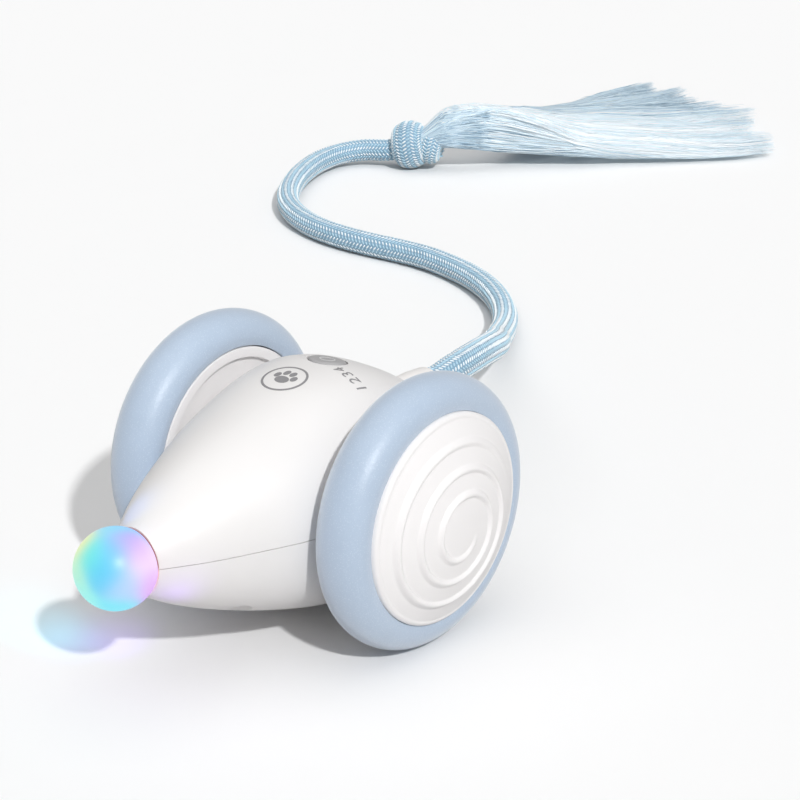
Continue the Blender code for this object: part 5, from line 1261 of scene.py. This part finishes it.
def smooth_route(points, spacing):
    """Read evenly spaced points from a smooth curve through the route's own points."""
    ends = [2 * points[0] - points[1]] + points + [2 * points[-1] - points[-2]]
    fine = []
    for index in range(1, len(ends) - 2):
        before, start, end, after = ends[index - 1:index + 3]
        for part in (step / ROUTE_STEPS for step in range(ROUTE_STEPS)):
            fine.append(start + part * (end - before) / 2
                        + part ** 2 * (before - 2.5 * start + 2 * end - after / 2)
                        + part ** 3 * (1.5 * (start - end) + (after - before) / 2))
    fine.append(points[-1])
    lengths = [0.0]
    for start, end in zip(fine, fine[1:]):
        lengths.append(lengths[-1] + (end - start).length)
    parts = round(lengths[-1] / spacing)
    chosen, index = [], 0
    for target in (lengths[-1] * part / parts for part in range(parts + 1)):
        while index < len(fine) - 2 and lengths[index + 1] < target:
            index += 1
        part = (target - lengths[index]) / (lengths[index + 1] - lengths[index])
        chosen.append(fine[index].lerp(fine[index + 1], part))
    return chosen, lengths[-1]


def knot_place():
    """Middle of the knot and the way that it points."""
    heading = ROUTE[-1] - ROUTE[-2]
    heading.z = 0
    heading.normalize()
    centre = ROUTE[-1] + heading * KNOT_CENTRE_AHEAD
    centre.z = KNOT_RADIUS
    return centre, heading


def cord_points():
    """The cord's route in the row frame, with its last stretch inside the knot."""
    centre, heading = knot_place()
    return ROUTE + [centre - heading * KNOT_RADIUS / 4,
                    centre + heading * KNOT_HALF_LENGTH * CORD_IN_KNOT_SHARE]


def tube_curve(name, points, radius, cyclic=False):
    """Make a round tube along points, as a curve object."""
    curve = with_fields(bpy.data.curves.new(name, "CURVE"), dimensions="3D", bevel_depth=radius,
                        bevel_resolution=6, use_fill_caps=not cyclic)
    spline = curve.splines.new("POLY")
    spline.points.add(len(points) - 1)
    for point, place in zip(spline.points, points):
        point.co = (*place, 1)
    spline.use_cyclic_u = cyclic
    return new_object(name, curve)


def braid_tree():
    """Geometry nodes that lay rows of slanted stitches round a curve."""
    tree, given = start_tree("braid_stitches", {
        "Route": "Object", "Pitch": "Float", "Rows": "Int", "Radius": "Float", "Row Turn": "Float",
        "Stagger": "Float", "Slant": "Float", "Stitch Size": "Vector", "Seed": "Int", "Yarn": "Material"})
    route = add_node(tree, "GeometryNodeObjectInfo", {"Object": given["Route"]}).outputs["Geometry"]
    along = add_node(tree, "GeometryNodeCurveToPoints", {"Curve": route, "Length": given["Pitch"]},
                     mode="LENGTH").outputs
    rows = add_node(tree, "GeometryNodeDuplicateElements",
                    {"Geometry": along["Points"], "Amount": given["Rows"]}, domain="POINT").outputs

    def weighed(first, second, turn):
        """Turn from one direction towards another."""
        parts = [combine_ways(tree, "SCALE", way, calculate(tree, operation, turn))
                 for way, operation in ((first, "COSINE"), (second, "SINE"))]
        return combine_ways(tree, "ADD", *parts)

    share = calculate(tree, "DIVIDE", rows["Duplicate Index"], given["Rows"])
    turn = calculate(tree, "MULTIPLY_ADD", share, 2 * math.pi, given["Row Turn"])
    side = combine_ways(tree, "CROSS_PRODUCT", along["Tangent"], along["Normal"])
    out = weighed(along["Normal"], side, turn)
    round_it = combine_ways(tree, "CROSS_PRODUCT", along["Tangent"], out)
    odd = calculate(tree, "MODULO", rows["Duplicate Index"], 2.0)
    sign = calculate(tree, "MULTIPLY_ADD", odd, -2.0, 1.0)
    yarn_way = weighed(along["Tangent"], round_it, calculate(tree, "MULTIPLY", sign, given["Slant"]))
    ahead = calculate(tree, "MULTIPLY", given["Pitch"], given["Stagger"])
    offset = combine_ways(tree, "ADD", combine_ways(tree, "SCALE", out, given["Radius"]),
                          combine_ways(tree, "SCALE", along["Tangent"], ahead))
    placed = add_node(tree, "GeometryNodeSetPosition", {"Geometry": rows["Geometry"], "Offset": offset})
    turned = add_node(tree, "FunctionNodeAxesToRotation", {"Primary Axis": out, "Secondary Axis": yarn_way},
                      primary_axis="Z", secondary_axis="X")
    varied = add_node(tree, "FunctionNodeRandomValue",
                      {2: STITCH_VARIETY[0], 3: STITCH_VARIETY[1], "Seed": given["Seed"]}, data_type="FLOAT")
    stitch = add_node(tree, "GeometryNodeMeshUVSphere", {"Segments": 6, "Rings": 4, "Radius": 0.5})
    spread = add_node(tree, "GeometryNodeInstanceOnPoints", {
        "Points": placed.outputs["Geometry"], "Instance": stitch.outputs["Mesh"],
        "Rotation": turned.outputs["Rotation"],
        "Scale": combine_ways(tree, "SCALE", given["Stitch Size"], varied.outputs[1])})
    end_tree(tree, spread.outputs["Instances"], given["Yarn"])
    return tree


def braid_yarns(name, tree, route, radius, settings, yarns, fit=1.0, pitch_share=1.0):
    """Lay both colours of stitches round a route, and give the two meshes."""
    rows = max(round(settings.stitch_rows * fit), 1)
    shared = {"Route": route, "Pitch": settings.stitch_pitch * pitch_share, "Rows": rows,
              "Radius": radius * CORD_CORE_SHARE,
              "Stitch Size": (settings.stitch_length, settings.stitch_width, settings.stitch_width)}
    return [grown_mesh(name + "_" + tint + "_yarn", tree, {
        **shared, "Row Turn": index * math.pi / rows, "Stagger": index / 2,
        "Slant": slant * settings.stitch_slant, "Seed": settings.seed + index, "Yarn": yarns[index]})
        for index, (tint, slant) in enumerate((("white", 1), ("blue", -1)))]


class CATTOY_OT_cord(Operator):
    """Make the braided cord of the tail with its knot"""
    bl_idname = "cat_toy.cord"
    bl_label = "Make Cord and Knot"

    def execute(self, context):
        settings = context.scene.cat_toy_tail
        core = braid_polyester("braid_core_polyester", settings.core, 0.0008, 0.10)
        yarns = (braid_polyester("white_braid_polyester", settings.white_yarn, 0.0006, 0.04),
                 braid_polyester("blue_braid_polyester", settings.blue_yarn, 0.0006, 0.06))
        tree = braid_tree()
        route, length = smooth_route(cord_points(), CORD_STEP)
        line = tube_curve("cord_line", route, 0.0)
        tube = tube_curve("cord_tube", route, CORD_DIAMETER / 2 * CORD_CORE_SHARE)
        cord = dressed("braided_cord", evaluated_mesh(tube, "braided_cord"), "tail",
                       ["tail_cord"], core, sharp=60)
        yarn_pieces = [dressed(mesh.name, mesh, "tail") for mesh in
                       braid_yarns("cord", tree, line, CORD_DIAMETER / 2, settings, yarns)]
        remove_objects(line, tube)
        knot_pieces = self.make_knot(tree, core, yarns, settings)
        return {"FINISHED"}

    def make_knot(self, tree, core, yarns, settings):
        """Bands of the same cord, wound tightly round each other."""
        centre, heading = knot_place()
        frame_turn = Matrix.Translation(centre) @ heading.to_track_quat("Z", "Y").to_matrix().to_4x4()
        stores = [bmesh.new(), bmesh.new(), bmesh.new()]
        for along, tilt, bearing, ring, thick, stretch in KNOT_BANDS:
            lean = Matrix.Rotation(tilt, 4, Vector((math.cos(bearing), math.sin(bearing), 0)))
            place = (frame_turn @ Matrix.Translation((0, 0, along)) @ lean
                     @ Matrix.Diagonal((1, 1, stretch, 1)))
            points = around(ring, KNOT_BAND_STEPS)
            line = tube_curve("knot_line", points, 0.0, cyclic=True)
            tube = tube_curve("knot_tube", points, thick * CORD_CORE_SHARE, cyclic=True)
            meshes = [evaluated_mesh(tube, "knot_tube")]
            meshes += braid_yarns("knot", tree, line, thick, settings, yarns, KNOT_ROWS_SHARE,
                                  ring / (ring + thick))
            for store, mesh in zip(stores, meshes):
                mesh.transform(place)
                store.from_mesh(mesh)
                bpy.data.meshes.remove(mesh)
            remove_objects(line, tube)
        core_store, *yarn_stores = stores
        pieces = [dressed("knot_core", plain_mesh(core_store, "knot_core"), "tail",
                          ["tail_knot"], core, sharp=60)]
        for store, tint, yarn in zip(yarn_stores, ("white", "blue"), yarns):
            name = "knot_" + tint + "_yarn"
            pieces.append(dressed(name, plain_mesh(store, name), "tail", material=yarn))
        return pieces


def strand_tree():
    """Geometry nodes that turn the tassel's lines into strands, each with a shade of its own."""
    tree, given = start_tree("tassel_strands", {
        "Lines": "Object", "Strand Radius": "Float", "Sides": "Int", "Seed": "Int", "Yarn": "Material"})
    lines = add_node(tree, "GeometryNodeObjectInfo", {"Object": given["Lines"]}).outputs["Geometry"]
    spread = {2: -STRAND_TONE_SPREAD, 3: STRAND_TONE_SPREAD, "Seed": given["Seed"]}
    chance = add_node(tree, "FunctionNodeRandomValue", spread, data_type="FLOAT")
    tone = add_node(tree, "GeometryNodeInputCurveTilt").outputs[0]
    shade = calculate(tree, "ADD", tone, chance.outputs[1])
    shaded = add_node(tree, "GeometryNodeStoreNamedAttribute",
                      {"Geometry": lines, "Name": "shade", "Value": shade}, data_type="FLOAT", domain="CURVE")
    level = add_node(tree, "GeometryNodeSetCurveTilt", {0: shaded.outputs["Geometry"], "Tilt": 0.0})
    ring = add_node(tree, "GeometryNodeCurvePrimitiveCircle",
                    {"Resolution": given["Sides"], "Radius": given["Strand Radius"]})
    thickness = add_node(tree, "GeometryNodeInputRadius").outputs[0]
    mesh = add_node(tree, "GeometryNodeCurveToMesh", {
        "Curve": level.outputs[0], "Profile Curve": ring.outputs["Curve"], "Scale": thickness,
        "Fill Caps": True})
    end_tree(tree, mesh.outputs["Mesh"], given["Yarn"])
    return tree


def tassel_spine():
    """Place, sideways way, half width, underside and top at each station of the fan."""
    place, heading = knot_place()
    bearing = math.atan2(heading.y, heading.x)
    place.z = 0
    reach = FAN_SHARES[-1][0]
    columns = [[(row[0], row[column]) for row in FAN_SHARES] for column in (1, 2, 3)]
    stations = []
    for index in range(FAN_STATIONS + 1):
        share = reach * index / FAN_STATIONS
        bend = clamp((share - FAN_BEND_START_SHARE) / FAN_BEND_SHARE)
        turn = bearing + (TASSEL_BEARING - bearing) * bend
        forward = Vector((math.cos(turn), math.sin(turn), 0))
        if index:
            place = place + forward * FAN_LENGTH * reach / FAN_STATIONS
        wide, under, over = (smooth_value(column, share) for column in columns)
        stations.append((place.copy(), Vector((-forward.y, forward.x, 0)), wide * TASSEL_HALF_WIDTH,
                         max(under, 0.0) * TASSEL_HEIGHT, over * TASSEL_HEIGHT))
    return stations


class CATTOY_OT_tassel(Operator):
    """Make the tassel of loose yarn"""
    bl_idname = "cat_toy.tassel"
    bl_label = "Make Tassel"

    def execute(self, context):
        settings = context.scene.cat_toy_tail
        tree = strand_tree()
        yarn = tassel_rayon(settings)
        for name, top, solids in (("tassel_strands", True, ["tail_tassel"]),
                                  ("tassel_under_strands", False, [])):
            lines = self.strand_lines(settings, top)
            mesh = grown_mesh(name, tree, {"Lines": lines, "Strand Radius": settings.strand_radius,
                                           "Sides": STRAND_SIDES, "Seed": settings.seed + top, "Yarn": yarn})
            remove_objects(lines)
            dressed(name, mesh, "tail", solids)
        return {"FINISHED"}

    def strand_lines(self, settings, top):
        """Draw each strand's line through the fan, lock by lock, in its upper or lower half."""
        chance = random.Random(settings.seed + top)
        noise.seed_set(settings.seed + top)
        stations = tassel_spine()
        knot_end = cord_points()[-1]
        curve = with_fields(bpy.data.curves.new("strand_lines", "CURVE"), dimensions="3D")
        surface, depth, power = UPPER_LAYER_SHARE if top else UNDER_LAYER_SHARE
        shorter, rarity = STRAND_SHORT_SHARE
        taper, taper_power = STRAND_TAPER_SHARE
        crossing, root, limit = STRAND_ROOT_SHARE
        for strand in range(settings.strands):
            # The lock's lightness is painted light and shade
            across, reach, light = chance.choice(LOCK_SHARES)
            off = chance.uniform(-1, 1)
            layer = surface - depth * chance.random() ** power
            reach *= 1 - LOCK_POINT_SHARE * off ** 2 - shorter * chance.random() ** rarity
            start = clamp(crossing * across + chance.uniform(-root, root), -limit, limit)
            # Painted highlight streaks: a noise across the locks lifts some strands' tone
            painted_highlight_streak = noise.noise(Vector((across * PAINTED_HIGHLIGHT_STEPS[0] + off * PAINTED_HIGHLIGHT_STEPS[1],
                                         layer * PAINTED_HIGHLIGHT_STEPS[2], settings.seed)))
            # The tone adds to its base the lock's painted light and shade, painted highlight streaks and
            # painted shade on lower strands
            tone = STRAND_TONE + light + PAINTED_HIGHLIGHT_TONE * painted_highlight_streak + PAINTED_LAYER_SHADE * layer
            stray = 1 + STRAY_FACTOR * (chance.random() < STRAY_SHARE)
            tip = Vector(self.strand_place(stations, reach, across, layer, across, strand, stray))
            reach *= min(STRAND_REACH / (tip - knot_end).length, 1.0)
            spline = curve.splines.new("POLY")
            spline.points.add(STRAND_POINTS - 1)
            for index, point in enumerate(spline.points):
                done = index / (STRAND_POINTS - 1)
                gather = 1 - LOCK_GATHER_SHARE * done ** taper_power
                mingle = min(done * reach / STRAND_CROSSING_SHARE, 1.0)
                mingle = mingle ** 2 * (3 - 2 * mingle)
                spread = (across + off * LOCK_HALF_SHARE * gather) * mingle + start * (1 - mingle)
                sunk = layer - STRAND_SINK_SHARE * (1 - mingle) * max(across, 0.0) * top
                place = self.strand_place(stations, done * reach, spread, sunk, across, strand, stray * done)
                with_fields(point, co=(*place, 1), radius=1.0 - taper * done ** taper_power, tilt=tone)
        return new_object("strand_lines", curve)

    def strand_place(self, stations, share, spread, layer, across, strand, fray):
        """Place of a strand at a share of the fan's length, across it and up through it."""
        spot = min(share / FAN_SHARES[-1][0], 1.0) * (len(stations) - 1)
        index = min(int(spot), len(stations) - 2)
        part = spot - index
        place, sideways = stations[index][0].lerp(stations[index + 1][0], part), stations[index][1]
        wide, under, over = (here + (there - here) * part for here, there in
                             zip(stations[index][2:], stations[index + 1][2:]))
        settled = min(share * SETTLE_STEPS, 1.0)
        swing = noise.noise(Vector((share * SWING_STEPS[0], across * SWING_STEPS[1], SWING_STEPS[2])))
        spread = clamp(spread + swing * SWING_SHARE * settled, -1.0)
        middle = under + (over - under) * (1 + min(under / (TASSEL_HEIGHT / 10), 1.0)) / 4
        half = (over - middle if layer > 0 else middle - under) * (1 + 4 * math.sqrt(1 - spread ** 2)) / 5
        wave = noise.noise_vector(Vector((share * WAVE_STEPS[0], strand * WAVE_STEPS[1], layer)))
        wave *= WAVE_HEIGHT * fray
        rise = noise.noise(Vector((share * RISE_STEPS[0], spread * RISE_STEPS[1], RISE_STEPS[2])))
        place = place + sideways * (spread * wide + wave.x) + Vector((wave.y, wave.z, 0))
        height = middle + layer * half + rise * RISE_HEIGHT * settled
        return place.x, place.y, max(height, FLOOR_LAYERS[strand % len(FLOOR_LAYERS)])


class CATTOY_OT_inside(Operator):
    """Give each inner piece its finish"""
    bl_idname = "cat_toy.inside"
    bl_label = "Finish Inner Pieces"

    def execute(self, context):
        finishes = (
            (("nose_retainer", "battery_tray", "gearbox_case", "gearbox_cover"),
             moulded_inside("glass_filled_nylon", "8C9096", 0.55)),
            (("idler_gear", "drive_gear", "motor_end_cap"), moulded_inside("moulded_acetal", "E8E2D2", 0.35)),
            (("light_board", "main_board", "charge_board"), fibreglass_board()),
            (("chip", "motion_sensor", "button_switch"),
             moulded_inside("epoxy_chip_case", "26272A", 0.45, 0.002)),
            (("pinion", "axle_bush"), turned_brass()),
            (("battery_cell",), foil_pouch()),
            (("nose_led",), moulded_inside("clear_lamp_epoxy", "F4F4EE", 0.2)),
            (("screw", "axle", "motor", "shaft", "pin", "charge_socket"), zinc_steel()),
        )
        for name, node in frame["nodes"].items():
            if node.hide_render:
                continue
            found = [finish for words, finish in finishes if any(word in name for word in words)]
            if not found:
                raise RuntimeError("no finish is named for " + name)
            node.data.materials.clear()
            node.data.materials.append(found[0])
        return {"FINISHED"}


class CATTOY_PT_panel(Panel):
    """Buttons and settings of the cat toy"""
    bl_label = "Robotic Mouse Cat Toy"
    bl_idname = "CATTOY_PT_panel"
    bl_space_type = "VIEW_3D"
    bl_region_type = "UI"
    bl_category = "Cat Toy"

    def draw(self, context):
        for group, settings, kinds in PANEL_ROWS:
            rows = self.layout.box()
            for field in getattr(context.scene, group).bl_rna.properties:
                if field.identifier not in ("rna_type", "name"):
                    rows.prop(getattr(context.scene, group), field.identifier)
            for kind in kinds:
                rows.operator(kind.bl_idname)


PANEL_ROWS = (
    ("cat_toy_stage", StageSettings, (CATTOY_OT_stage,)),
    ("cat_toy_tail", TailSettings, (CATTOY_OT_sleeve, CATTOY_OT_cord, CATTOY_OT_tassel)),
    ("cat_toy_shell", ShellSettings, (CATTOY_OT_shell, CATTOY_OT_screws, CATTOY_OT_button, CATTOY_OT_print)),
    ("cat_toy_nose", NoseSettings, (CATTOY_OT_nose,)),
    ("cat_toy_wheels", WheelSettings, (CATTOY_OT_wheels, CATTOY_OT_inside)),
)
OPERATORS = tuple(kind for group, settings, kinds in PANEL_ROWS for kind in kinds)


def register():
    """Register the settings, the operators and the panel."""
    for name, kind, kinds in PANEL_ROWS:
        register_class(kind)
        setattr(bpy.types.Scene, name, PointerProperty(type=kind))
    for kind in (*OPERATORS, CATTOY_PT_panel):
        register_class(kind)


def unregister():
    """Take away all that register added."""
    for kind in (CATTOY_PT_panel, *OPERATORS):
        unregister_class(kind)
    for name, kind, kinds in PANEL_ROWS:
        delattr(bpy.types.Scene, name)
        unregister_class(kind)


def main():
    register()
    for kind in OPERATORS:
        group, call = kind.bl_idname.split(".")
        getattr(getattr(bpy.ops, group), call)()


if __name__ == "__main__":
    main()
